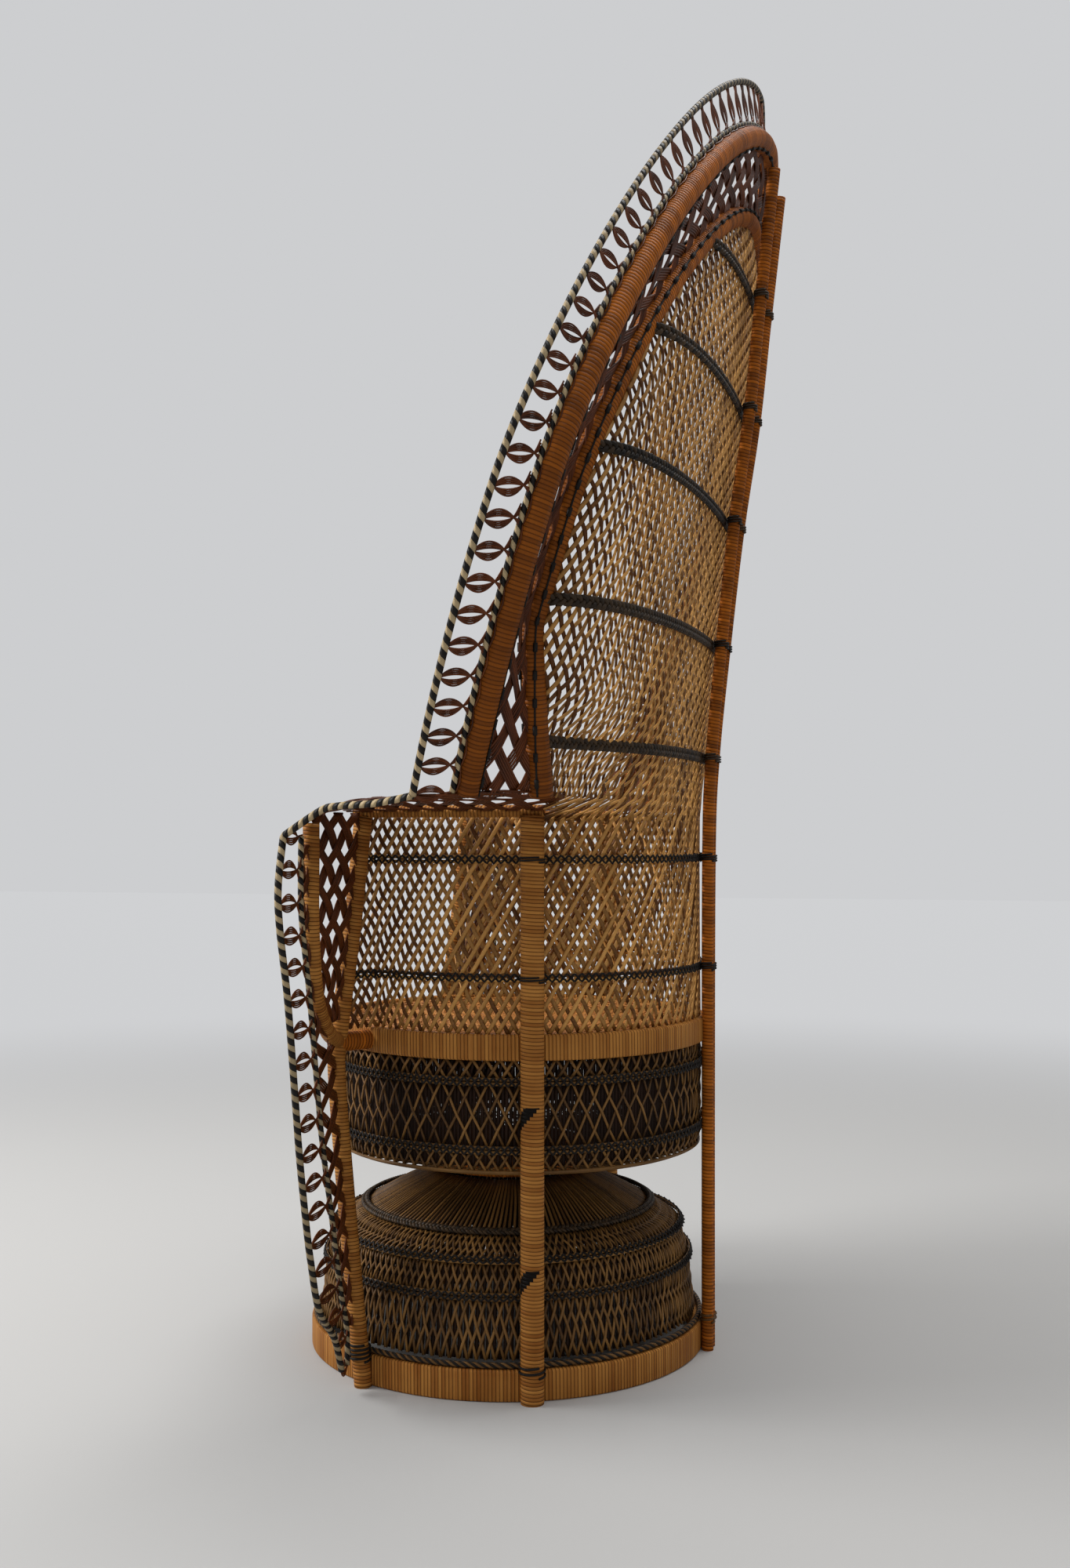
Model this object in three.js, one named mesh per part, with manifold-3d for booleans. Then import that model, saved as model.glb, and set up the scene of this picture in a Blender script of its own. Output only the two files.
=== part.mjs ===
// Peacock chair: a rattan armchair with a tall leaning fan back, on a waisted woven pedestal.
// Millimetres, +Z up. The sitter faces -Y, and the sitter's left is +X.
import * as THREE from 'three';
import { mergeVertices } from 'three/addons/utils/BufferGeometryUtils.js';
import Module from 'manifold-3d';

const wasm = await Module();
wasm.setup();

// The gap between pieces that touch, and the gap left where a piece is cut round another
const clearance = 0.3;
const cutGap = 0.25;

// Cane: the thickness of woven walls, the dark braids, and the fine rods of the lace
const weaveThickness = 4;
const braidRadius = 4;
const bandRadius = 3;
const rodRadius = 3.2;
const rimRadius = 3.8;
const laceThickness = 4.4;

// Foot ring
const footRingRadius = 250;
const footRingWall = 14;
const footRingHeight = 36;
const footBraidHeight = 7;
const ringRound = 3;

// Pedestal basket, narrowing over three braids to the waist
const shoulderHeightShares = [0.416, 0.616, 0.74];
const shoulderRadiusShares = [1, 0.917, 0.634];
const waistRadius = 98;
const waistWall = 10;
const waistBottomHeight = 221;
const waistTopHeight = 250;

// Drum under the seat, set a little further back than the pedestal
const drumBack = 15;
const drumRadius = 230;
const drumMouthRadius = 80;
const drumShoulder = 10;
const drumBraidShares = [0.239, 0.821];
const seatRingRadius = 238;
const seatRingWall = 14;
const seatRingBottomHeight = 384;
const seatHeight = 414;
const seatThickness = 8;
const seatDish = 4;
const seatFlatRadius = 70;

// Legs
const armHeight = 663;
const sideLegRadius = 13.5;
const sideLegBack = 87;
const sideLegLateral = 237.5;
const frontLegRadius = 10.5;
const frontLegLateral = 228;
const frontLegForward = 117;
const frontLegBow = 32;
const legHeightShares = [0, 0.27, 0.53, 0.61, 0.8, 1];
const legBowShares = [0, 0.55, 1, 0.95, 0.44, 0];
const seatTieRadius = 12;

// The pair of poles behind the back
const poleRadius = 7.5;
const poleFootLateral = 8.6;
const poleTopLateral = 45;
const poleTopDrop = 14;
const poleHoopStandoff = 19.8;
const poleHeightShares = [0, 0.21, 0.42, 0.5, 0.594, 0.696, 0.788, 0.88, 1];
const poleLeanShares = [0, 0, 0.01, 0.06, 0.21, 0.4, 0.62, 0.78, 1];
const poleSplayShares = [0, 0, 0.05, 0.15, 0.3, 0.5, 0.7, 0.85, 1];

// The three arches of the back
const archFootRise = 21;
const outerArch = {
  halfWidth: 505,
  widestHeight: 985,
  crownHeight: 1486,
  footHeight: armHeight + archFootRise,
  footHalfWidth: 440,
  footBack: 66,
  leanShare: 0.33,
};
// How far the rim lies outside the outer arch, and the inner arch inside it
const rimGap = { side: 45, widest: 10, crown: 67, foot: 4, footSide: 40, forward: 44 };
const innerGap = { side: 65, widest: 10, crown: 91, foot: 2, footSide: 60, footBack: 64, lineBack: 9 };
const rimArch = {
  halfWidth: outerArch.halfWidth + rimGap.side,
  widestHeight: outerArch.widestHeight - rimGap.widest,
  crownHeight: outerArch.crownHeight + rimGap.crown,
  footHeight: outerArch.footHeight - rimGap.foot,
  footHalfWidth: outerArch.footHalfWidth + rimGap.footSide,
  footBack: outerArch.footBack - rimGap.forward,
  leanShare: 0.345,
};
const innerArch = {
  halfWidth: outerArch.halfWidth - innerGap.side,
  widestHeight: outerArch.widestHeight - innerGap.widest,
  crownHeight: outerArch.crownHeight - innerGap.crown,
  footHeight: outerArch.footHeight - innerGap.foot,
  footHalfWidth: outerArch.footHalfWidth - innerGap.footSide,
  footBack: outerArch.footBack + innerGap.footBack,
  lineBack: outerArch.footBack + innerGap.lineBack,
  leanShare: outerArch.leanShare,
};
const outerHoopRadius = 12.5;
const innerHoopRadius = 10.5;
const crownWidthPower = 1.24;
const crownHeightPower = 1.25;

// Basket wall round the sitter, and the woven hood above it
const wallSeatRadius = 229;
const wallFrontAngle = THREE.MathUtils.degToRad(54);
const wallStraightShare = 0.4;
const hoodFlareShares = [0, 0.3, 0.65];
const wallBandShares = [0.257, 0.799];
const hoodBandShares = [0.077, 0.272, 0.484, 0.675, 0.864];

// Arm rims and the wings that hang from them
const armRimHeightShares = [1, 0.82, 0.77, 0.65, 0];
const armRimWidthShares = [1, 0.75, 0.38, 0.13, 0];
const armRimForwardShares = [0, 0.28, 0.56, 0.72, 1];
const wingForward = 130;
const wingTopDrop = 23;
const wingTopLateral = 440;
const wingFootHeight = 30;
const wingFootLateral = 266;
const wingHeightShares = [1, 0.916, 0.844, 0.716, 0.533, 0.439, 0.316, 0.243, 0.148, 0.07, 0];
const wingWidthShares = [1, 1.08, 1.057, 0.931, 0.805, 0.741, 0.632, 0.552, 0.414, 0.132, 0];
const wingLaceWidth = 62;
const wingLaceShares = [0.8, 1, 1, 1, 1.05, 1.1, 1.2, 1.2, 1.12, 0.65, 0.3];
const armRailRadius = 5;
const armDome = 12;
const armBulge = 78;
const wingTubeRadius = 9;
const wingTubeLateral = 361;
const wingTubeHeightShares = [1, 0.9, 0.6, 0.27, 0.08, 0];
const wingTubeWidthShares = [1, 1, 1, 0.84, 0.42, 0];
const wingTubeFootDrop = 14;

// Loops of the lace, and the openings of the woven cells, as shares of the way from a cell's middle
// to its upper and lower sides, to its sides along the row, and to its corners
const hoodLoopCount = 72;
const wingLoopCount = 18;
const latticeOpening = { upShare: 0.78, alongShare: 0.78 };
const loopOpening = { upShare: 0.9, alongShare: 0.6, cornerShare: 0.86 };

// Facets
const ringFacets = 28;
const tubeFacets = 6;
const cordFacets = 4;
const archLowSteps = 4;
const archHighSteps = 8;
const hoodCrownSteps = 4;
const archTubeSteps = 40;
const armRimSteps = 8;
const bandTubeSteps = 20;
const legTubeSteps = 12;
const wallColumns = 24;

// Colours of the cane
const tan = { color: 0xb58a55, roughness: 0.62, metalness: 0 };
const honey = { color: 0xc99a5b, roughness: 0.55, metalness: 0 };
const amber = { color: 0x9a5c2a, roughness: 0.5, metalness: 0 };
const brown = { color: 0x4f2b1a, roughness: 0.58, metalness: 0 };
const black = { color: 0x1e1814, roughness: 0.55, metalness: 0 };
const striped = { color: 0x77684f, roughness: 0.5, metalness: 0 };

const leftSide = 1;
const rightSide = -1;
const quarterTurn = Math.PI / 2;

function lerp(from, to, share) {
  return THREE.MathUtils.lerp(from, to, share);
}

// A closed geometry as a solid, with its faces turned outwards
function solidOf(geometry) {
  const bare = geometry.clone();
  bare.deleteAttribute('normal');
  bare.deleteAttribute('uv');
  const merged = mergeVertices(bare, clearance / 100);
  const positions = Float32Array.from(merged.attributes.position.array);
  const index = [];
  const all = merged.index.array;
  for (let i = 0; i < all.length; i += 3) {
    const [a, b, c] = [all[i], all[i + 1], all[i + 2]];
    if (a !== b && b !== c && c !== a) index.push(a, b, c);
  }
  const make = () => new wasm.Manifold(new wasm.Mesh({
    numProp: 3,
    vertProperties: positions,
    triVerts: Uint32Array.from(index),
  }));
  const solid = make();
  if (solid.volume() > 0) return solid;
  index.reverse();
  return make();
}

function geometryOf(solid) {
  const mesh = solid.getMesh();
  const geometry = new THREE.BufferGeometry();
  geometry.setAttribute('position', new THREE.BufferAttribute(mesh.vertProperties, 3));
  geometry.setIndex(new THREE.BufferAttribute(mesh.triVerts, 1));
  return geometry;
}

function largestBody(solid) {
  return solid.decompose().reduce((best, body) => (body.volume() > best.volume() ? body : best));
}

function boxesMeet(one, other) {
  const a = one.boundingBox();
  const b = other.boundingBox();
  return [0, 1, 2].every((axis) => a.min[axis] < b.max[axis] && b.min[axis] < a.max[axis]);
}

const chair = new THREE.Group();
const placed = [];

// Adds a piece, cut clear of the pieces already there; make(grow) gives its solid, grown on all sides
function put(name, finish, make) {
  let solid = make(0);
  for (const cutter of placed) {
    if (boxesMeet(solid, cutter)) solid = solid.subtract(cutter);
  }
  const body = largestBody(solid.simplify(cutGap / 2));
  placed.push(make(cutGap));
  const mesh = new THREE.Mesh(geometryOf(body), new THREE.MeshStandardMaterial(finish));
  mesh.name = name;
  chair.add(mesh);
}

// A wrapped tube along a curve
function tube(curve, radius, facets, steps) {
  const shape = new THREE.Shape();
  for (let i = 0; i < facets; i += 1) {
    const turn = (2 * Math.PI * i) / facets;
    const corner = [radius * Math.cos(turn), radius * Math.sin(turn)];
    if (i === 0) shape.moveTo(...corner);
    else shape.lineTo(...corner);
  }
  shape.closePath();
  return solidOf(new THREE.ExtrudeGeometry(shape, { extrudePath: curve, steps, bevelEnabled: false }));
}

// A tube that has a corner at each of the given points
function cord(points, radius, facets) {
  const curve = new THREE.CatmullRomCurve3(points);
  curve.getPointAt = (share, target) => curve.getPoint(share, target);
  curve.getTangentAt = (share, target) => curve.getTangent(share, target);
  return tube(curve, radius, facets, points.length - 1);
}

// A ring about the axis at the given distance back, from a closed outline of [radius, height] corners
function ring(corners, back) {
  const outline = [...corners, corners[0]].map(([radius, height]) => new THREE.Vector2(radius, height));
  const geometry = new THREE.LatheGeometry(outline, ringFacets);
  geometry.rotateX(quarterTurn);
  geometry.translate(0, back, 0);
  return solidOf(geometry);
}

function bandRing(outer, wall, bottom, top, back, grow) {
  const far = outer + grow;
  const near = outer - wall - grow;
  const low = bottom - grow;
  const high = top + grow;
  return ring([
    [near, low],
    [far - ringRound, low],
    [far, low + ringRound],
    [far, high - ringRound],
    [far - ringRound, high],
    [near, high],
  ], back);
}

// A ring of cord with one of its corners turned the way it leans on
function cordRing(radius, height, cordRadius, back, lean) {
  const corners = [];
  for (let i = 0; i < cordFacets; i += 1) {
    const turn = lean + (2 * Math.PI * i) / cordFacets;
    corners.push([radius + cordRadius * Math.cos(turn), height + cordRadius * Math.sin(turn)]);
  }
  return ring(corners, back);
}

// The direction square to a grid of points at one of them, on the side away from the sitter
function outwardAt(grid, i, j, wrap) {
  const columns = grid[0].length;
  const column = (k) => (wrap ? (k + columns) % columns : THREE.MathUtils.clamp(k, 0, columns - 1));
  const above = grid[Math.min(i + 1, grid.length - 1)][column(j)];
  const below = grid[Math.max(i - 1, 0)][column(j)];
  const up = new THREE.Vector3().subVectors(above, below);
  const along = new THREE.Vector3().subVectors(grid[i][column(j + 1)], grid[i][column(j - 1)]);
  return along.cross(up).normalize();
}

// A grid whose border is moved outwards by a distance
function grownGrid(grid, grow, wrap) {
  const beyond = (point, inner) => (
    point.clone().add(new THREE.Vector3().subVectors(point, inner).setLength(grow))
  );
  const wider = grid.map((row) => (wrap ? row : row.map((point, j) => {
    if (j === 0) return beyond(point, row[1]);
    return j === row.length - 1 ? beyond(point, row[j - 1]) : point;
  })));
  const last = wider.length - 1;
  return wider.map((row, i) => row.map((point, j) => {
    if (i === 0) return beyond(point, wider[1][j]);
    return i === last ? beyond(point, wider[last - 1][j]) : point;
  }));
}

// A woven sheet over rows of points. openings gives, for each row of cells, the opening of a cell:
// none, a lozenge, or with a cornerShare an eight-sided hole. wrap joins the last column to the first.
function sheet(middle, thickness, grow, openings, wrap) {
  const grid = grow > 0 ? grownGrid(middle, grow, wrap) : middle;
  const half = thickness / 2 + grow;
  const columns = grid[0].length;
  const lastRow = grid.length - 1;
  const cellColumns = wrap ? columns : columns - 1;
  const positions = [];
  const index = [];
  const addPair = (point, normal) => {
    const start = positions.length / 3;
    positions.push(...point.clone().addScaledVector(normal, half).toArray());
    positions.push(...point.clone().addScaledVector(normal, -half).toArray());
    return start;
  };
  const face = (a, b, c) => {
    index.push(a, b, c);
    index.push(a + 1, c + 1, b + 1);
  };
  const edge = (a, b) => {
    index.push(b, a, a + 1);
    index.push(b, a + 1, b + 1);
  };
  const corner = grid.map((row, i) => row.map((point, j) => addPair(point, outwardAt(grid, i, j, wrap))));
  for (let i = 0; i < lastRow; i += 1) {
    const opening = openings[Math.min(i, openings.length - 1)];
    for (let j = 0; j < cellColumns; j += 1) {
      const next = (j + 1) % columns;
      const places = [[i, j], [i, next], [i + 1, next], [i + 1, j]];
      const corners = places.map(([row, place]) => corner[row][place]);
      if (!opening) {
        face(corners[0], corners[1], corners[2]);
        face(corners[0], corners[2], corners[3]);
        continue;
      }
      const points = places.map(([row, place]) => grid[row][place]);
      const hub = new THREE.Vector3();
      points.forEach((point) => hub.addScaledVector(point, 1 / 4));
      const normal = outwardAt(grid, i, j, wrap).add(outwardAt(grid, i + 1, next, wrap)).normalize();
      const tips = points.map((point, k) => {
        const sideMiddle = point.clone().lerp(points[(k + 1) % 4], 1 / 2);
        const reach = k % 2 === 0 ? opening.upShare : opening.alongShare;
        return addPair(hub.clone().lerp(sideMiddle, reach), normal);
      });
      corners.forEach((here, k) => {
        const following = (k + 1) % 4;
        face(here, corners[following], tips[k]);
        if (opening.cornerShare) {
          const bend = addPair(hub.clone().lerp(points[following], opening.cornerShare), normal);
          face(corners[following], bend, tips[k]);
          face(corners[following], tips[following], bend);
          edge(bend, tips[k]);
          edge(tips[following], bend);
          return;
        }
        face(corners[following], tips[following], tips[k]);
        edge(tips[following], tips[k]);
      });
    }
  }
  for (let j = 0; j < cellColumns; j += 1) {
    const next = (j + 1) % columns;
    edge(corner[0][j], corner[0][next]);
    edge(corner[lastRow][next], corner[lastRow][j]);
  }
  if (!wrap) {
    for (let i = 0; i < lastRow; i += 1) {
      edge(corner[i + 1][0], corner[i][0]);
      edge(corner[i][columns - 1], corner[i + 1][columns - 1]);
    }
  }
  const geometry = new THREE.BufferGeometry();
  geometry.setAttribute('position', new THREE.Float32BufferAttribute(positions, 3));
  geometry.setIndex(index);
  return solidOf(geometry);
}

// A sheet turned about an upright axis, from its middle line of [radius, height] points
function turnedSheet(middle, back, grow, openings) {
  const grid = middle.map(([radius, height]) => {
    const row = [];
    for (let j = 0; j < ringFacets; j += 1) {
      const turn = (2 * Math.PI * j) / ringFacets;
      row.push(new THREE.Vector3(radius * Math.cos(turn), back + radius * Math.sin(turn), height));
    }
    return row;
  });
  return sheet(grid, weaveThickness, grow, openings, true);
}

function archHalfWidthAt(arch, height) {
  if (height < arch.widestHeight) {
    const drop = (arch.widestHeight - height) / (arch.widestHeight - arch.footHeight);
    return arch.halfWidth - (arch.halfWidth - arch.footHalfWidth) * drop ** 2;
  }
  const rise = (height - arch.widestHeight) / (arch.crownHeight - arch.widestHeight);
  const remaining = Math.max(0, 1 - rise ** (2 / crownHeightPower));
  return arch.halfWidth * remaining ** (crownWidthPower / 2);
}

function archBackAt(arch, height) {
  const leaning = (arch.lineBack ?? arch.footBack) + arch.leanShare * (height - arch.footHeight);
  return Math.max(arch.footBack, leaning);
}

// Heights of an arch's points, from its foot to its crown
function archHeights(arch) {
  const heights = [];
  for (let i = 0; i < archLowSteps; i += 1) {
    heights.push(lerp(arch.footHeight, arch.widestHeight, i / archLowSteps));
  }
  for (let i = 0; i <= archHighSteps; i += 1) {
    const turn = (quarterTurn * i) / archHighSteps;
    heights.push(lerp(arch.widestHeight, arch.crownHeight, Math.sin(turn) ** crownHeightPower));
  }
  return heights;
}

// An arch's points, from its foot on the sitter's left over the crown to its foot on the right
function archPoints(arch) {
  const half = archHeights(arch).map((height) => (
    new THREE.Vector3(archHalfWidthAt(arch, height), archBackAt(arch, height), height)
  ));
  const mirrored = half.slice(0, -1).reverse().map((point) => new THREE.Vector3(-point.x, point.y, point.z));
  return [...half, ...mirrored];
}

// Points moved from one line of points towards another by a distance
function stepTowards(from, to, distance) {
  return from.map((point, i) => {
    const direction = new THREE.Vector3().subVectors(to[i], point).normalize();
    return point.clone().addScaledVector(direction, distance);
  });
}

// The lines of a lace's rod and rim, with one point where each loop begins
function laceLines(rodPoints, rimPoints, loopCount) {
  const rod = new THREE.CatmullRomCurve3(rodPoints);
  const rim = new THREE.CatmullRomCurve3(rimPoints);
  const lines = { rod: [], rim: [] };
  for (let i = 0; i <= loopCount; i += 1) {
    const along = rod.getUtoTmapping(i / loopCount, 0);
    lines.rod.push(rod.getPoint(along));
    lines.rim.push(rim.getPoint(along));
  }
  return lines;
}

const outerPoints = archPoints(outerArch);
const innerPoints = archPoints(innerArch);
const rimPoints = archPoints(rimArch);
const hoopLines = laceLines(innerPoints, outerPoints, archTubeSteps);
const rodStandoff = outerHoopRadius + clearance + rodRadius;
const hoodLines = laceLines(stepTowards(outerPoints, rimPoints, rodStandoff), rimPoints, hoodLoopCount);

function frontLegPoints(side) {
  return legHeightShares.map((share, i) => new THREE.Vector3(
    side * frontLegLateral,
    -frontLegForward - frontLegBow * legBowShares[i],
    (armHeight - clearance) * share,
  ));
}

// The place of a line of points at a height, found along the straight stretch that spans it
function pointAtHeight(points, height) {
  const rising = points[points.length - 1].z > points[0].z ? points : [...points].reverse();
  let above = rising.findIndex((point) => point.z > height);
  if (above === -1) above = rising.length - 1;
  above = Math.max(above, 1);
  const low = rising[above - 1];
  const high = rising[above];
  return low.clone().lerp(high, (height - low.z) / (high.z - low.z));
}

const poleFootBack = footRingRadius + clearance + poleRadius;
const poleHeight = outerArch.crownHeight - poleTopDrop;
const poleLean = archBackAt(outerArch, poleHeight) + poleHoopStandoff - poleFootBack;

function polePoints(side) {
  return poleHeightShares.map((share, i) => new THREE.Vector3(
    side * lerp(poleFootLateral, poleTopLateral, poleSplayShares[i]),
    poleFootBack + poleLean * poleLeanShares[i],
    poleHeight * share,
  ));
}

// How far back the woven back stands at its middle: the bands lie between it and the poles
const wingTopHeight = armHeight - wingTopDrop;
const wingTubeFootHeight = seatHeight - wingTubeFootDrop;
const hoodBandHeights = hoodBandShares.map((share) => lerp(innerArch.footHeight, innerArch.crownHeight, share));
const hoodClosingHeight = hoodBandHeights[hoodBandHeights.length - 1];
const poleStandoff = poleRadius + 2 * bandRadius + 4 * clearance + weaveThickness / 2;

function backLineAt(height) {
  const alongPoles = pointAtHeight(polePoints(leftSide), height).y - poleStandoff;
  if (height < hoodClosingHeight) return alongPoles;
  const closing = (height - hoodClosingHeight) / (innerArch.crownHeight - hoodClosingHeight);
  return lerp(alongPoles, archBackAt(innerArch, innerArch.crownHeight), closing);
}

function armRimPoints(side) {
  return armRimHeightShares.map((share, i) => new THREE.Vector3(
    side * lerp(wingTopLateral, rimArch.footHalfWidth, armRimWidthShares[i]),
    lerp(rimArch.footBack, -wingForward, armRimForwardShares[i]),
    lerp(wingTopHeight, rimArch.footHeight - clearance, share),
  ));
}

function wingRimPoints(side) {
  return wingHeightShares.map((share, i) => new THREE.Vector3(
    side * lerp(wingFootLateral, wingTopLateral, wingWidthShares[i]),
    -wingForward,
    lerp(wingFootHeight, wingTopHeight, share),
  ));
}

// The rod along the inner side of a wing's lace, from below the arm to the foot
function wingRodPoints(side) {
  return wingRimPoints(side).map((point, i) => (
    new THREE.Vector3(point.x - side * wingLaceWidth * wingLaceShares[i], point.y, point.z)
  ));
}

function wingLines(side) {
  return laceLines(wingRodPoints(side), wingRimPoints(side), wingLoopCount);
}

function wingTubePoints(side) {
  const foot = pointAtHeight(frontLegPoints(side), wingTubeFootHeight);
  return wingTubeHeightShares.map((share, i) => new THREE.Vector3(
    side * lerp(frontLegLateral, wingTubeLateral, wingTubeWidthShares[i]),
    lerp(foot.y, -wingForward, wingTubeWidthShares[i]),
    lerp(wingTubeFootHeight, wingTopHeight, share),
  ));
}

// A point of an arm's top, from the front (0) to the back (1) and from the rail (0) to the rim (1)
function armPoint(side, lengthwise, outwards) {
  const rim = armRimPoints(side).reverse();
  const outer = new THREE.CatmullRomCurve3(rim).getPoint(lengthwise);
  const inner = armRailPoint(side, lengthwise);
  const point = inner.lerp(outer, outwards);
  const swell = Math.sin(Math.PI * outwards);
  point.y += armBulge * swell * lengthwise ** 2;
  point.z += armDome * swell;
  return point;
}

function armRailPoint(side, lengthwise) {
  return new THREE.Vector3(
    side * lerp(frontLegLateral, sideLegLateral, lengthwise),
    lerp(-frontLegForward - frontLegRadius, sideLegBack + sideLegRadius, lengthwise),
    armHeight + armRailRadius,
  );
}

const wallLateral = sideLegLateral - sideLegRadius - 3 * clearance - 2 * bandRadius - weaveThickness / 2;

// A section of the basket wall at a height, from the front leg on the left round the back to the right
function wallSection(height) {
  const share = (height - seatHeight) / (armHeight - seatHeight);
  const points = [];
  for (let j = 0; j <= wallColumns; j += 1) {
    const place = (2 * j) / wallColumns - 1;
    const side = place < 0 ? leftSide : rightSide;
    const reach = 1 - Math.abs(place);
    if (reach === 0) {
      const leg = pointAtHeight(frontLegPoints(side), height);
      points.push(new THREE.Vector3(leg.x, leg.y, height));
      continue;
    }
    const turn = lerp(wallFrontAngle, Math.PI, reach);
    const low = new THREE.Vector2(wallSeatRadius * Math.sin(turn), drumBack - wallSeatRadius * Math.cos(turn));
    const high = new THREE.Vector2(wallLateral, 0);
    if (reach < wallStraightShare) {
      high.y = lerp(-frontLegForward, sideLegBack, reach / wallStraightShare);
    } else {
      const bend = (quarterTurn * (reach - wallStraightShare)) / (1 - wallStraightShare);
      high.x = wallLateral * Math.cos(bend);
      high.y = sideLegBack + (backLineAt(height) - sideLegBack) * Math.sin(bend);
    }
    const plan = low.lerp(high, share);
    points.push(new THREE.Vector3(side * plan.x, plan.y, height));
  }
  return points;
}

// A section of the hood: half an ellipse from one side's edge round the back to the other's
function hoodSection(halfWidth, edgeBack, height) {
  const points = [];
  for (let j = 0; j <= wallColumns; j += 1) {
    const turn = (Math.PI * j) / wallColumns;
    const back = edgeBack + (backLineAt(height) - edgeBack) * Math.sin(turn);
    points.push(new THREE.Vector3(halfWidth * Math.cos(turn), back, height));
  }
  return points;
}

function hoodSectionAt(height) {
  return hoodSection(archHalfWidthAt(innerArch, height), archBackAt(innerArch, height), height);
}

const wallTop = armHeight - weaveThickness;
const wallBandHeights = wallBandShares.map((share) => lerp(seatHeight, armHeight, share));
const wallRowHeights = [seatHeight + clearance, ...wallBandHeights, wallTop];
const wallGrid = wallRowHeights.map(wallSection);

// The hood's rows: the flare above the arms, the banded part, and the crown inside the inner hoop
function hoodRows() {
  const flare = hoodFlareShares.map((share) => hoodSection(
    lerp(wallLateral, innerArch.footHalfWidth, share),
    lerp(sideLegBack, innerArch.footBack, share),
    lerp(wallTop + clearance, innerArch.footHeight, share),
  ));
  const heights = [innerArch.footHeight, ...hoodBandHeights];
  for (let i = 1; i <= hoodCrownSteps; i += 1) {
    const turn = (quarterTurn * i) / (hoodCrownSteps + 1 / 2);
    heights.push(lerp(hoodClosingHeight, innerArch.crownHeight, Math.sin(turn)));
  }
  return [...flare, ...heights.map(hoodSectionAt)];
}

const hoodGrid = hoodRows();

// A dark band lying on the outer face of a woven sheet, along the row at the given height
function bandOn(grid, height, grow) {
  const i = grid.findIndex((row) => row[0].z === height);
  const reach = weaveThickness / 2 + clearance + bandRadius;
  const line = grid[i].map((point, j) => point.clone().addScaledVector(outwardAt(grid, i, j, false), reach));
  return cord(line, bandRadius + grow, cordFacets);
}

function addFrame() {
  for (const [side, word] of [[leftSide, 'left'], [rightSide, 'right']]) {
    const front = new THREE.CatmullRomCurve3(frontLegPoints(side));
    put(`front_leg_${word}`, amber, (grow) => tube(front, frontLegRadius + grow, tubeFacets, legTubeSteps));
    const upright = new THREE.LineCurve3(
      new THREE.Vector3(side * sideLegLateral, sideLegBack, 0),
      new THREE.Vector3(side * sideLegLateral, sideLegBack, armHeight - clearance),
    );
    put(`side_leg_${word}`, honey, (grow) => tube(upright, sideLegRadius + grow, 2 * tubeFacets, 1));
  }
  put('outer_hoop', amber, (grow) => cord(hoopLines.rim, outerHoopRadius + grow, tubeFacets));
  put('inner_hoop', amber, (grow) => cord(hoopLines.rod, innerHoopRadius + grow, tubeFacets));
  put('hood_rim', striped, (grow) => cord(hoodLines.rim, rimRadius + grow, cordFacets));
  for (const [side, word] of [[leftSide, 'left'], [rightSide, 'right']]) {
    const pole = new THREE.CatmullRomCurve3(polePoints(side));
    put(`rear_pole_${word}`, amber, (grow) => tube(pole, poleRadius + grow, tubeFacets, bandTubeSteps));
    const armRim = new THREE.CatmullRomCurve3(armRimPoints(side)).getPoints(armRimSteps).slice(0, -1);
    const wingRim = [...armRim, ...wingLines(side).rim];
    put(`wing_rim_${word}`, striped, (grow) => cord(wingRim, rimRadius + grow, cordFacets));
    const rail = new THREE.LineCurve3(armRailPoint(side, 0), armRailPoint(side, 1));
    put(`arm_rail_${word}`, amber, (grow) => tube(rail, armRailRadius + grow, tubeFacets, 1));
    const wingTube = new THREE.CatmullRomCurve3(wingTubePoints(side));
    put(`wing_tube_${word}`, amber, (grow) => tube(wingTube, wingTubeRadius + grow, tubeFacets, legTubeSteps));
  }
}

function addRings() {
  put('foot_ring', amber, (grow) => bandRing(footRingRadius, footRingWall, 0, footRingHeight, 0, grow));
  const braidBottom = footRingHeight + clearance;
  put('foot_braid', striped, (grow) => (
    bandRing(footRingRadius, footRingWall, braidBottom, braidBottom + footBraidHeight, 0, grow)
  ));
  put('waist_ring', amber, (grow) => (
    bandRing(waistRadius, waistWall, waistBottomHeight, waistTopHeight, 0, grow)
  ));
  put('seat_ring', honey, (grow) => (
    bandRing(seatRingRadius, seatRingWall, seatRingBottomHeight, seatHeight, drumBack, grow)
  ));
  for (const [side, word] of [[leftSide, 'left'], [rightSide, 'right']]) {
    const height = (seatRingBottomHeight + seatHeight) / 2;
    const leg = pointAtHeight(frontLegPoints(side), height);
    const hub = new THREE.Vector3(0, drumBack, height);
    const inward = new THREE.Vector3().subVectors(leg, hub).setLength(seatRingRadius - seatRingWall / 2);
    const block = new THREE.LineCurve3(hub.clone().add(inward), leg);
    put(`seat_tie_${word}`, amber, (grow) => tube(block, seatTieRadius + grow, tubeFacets, 1));
  }
}

const drumBraidHeights = drumBraidShares.map((share) => lerp(waistTopHeight, seatRingBottomHeight, share));
const braidReach = weaveThickness / 2 + clearance + braidRadius;

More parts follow.
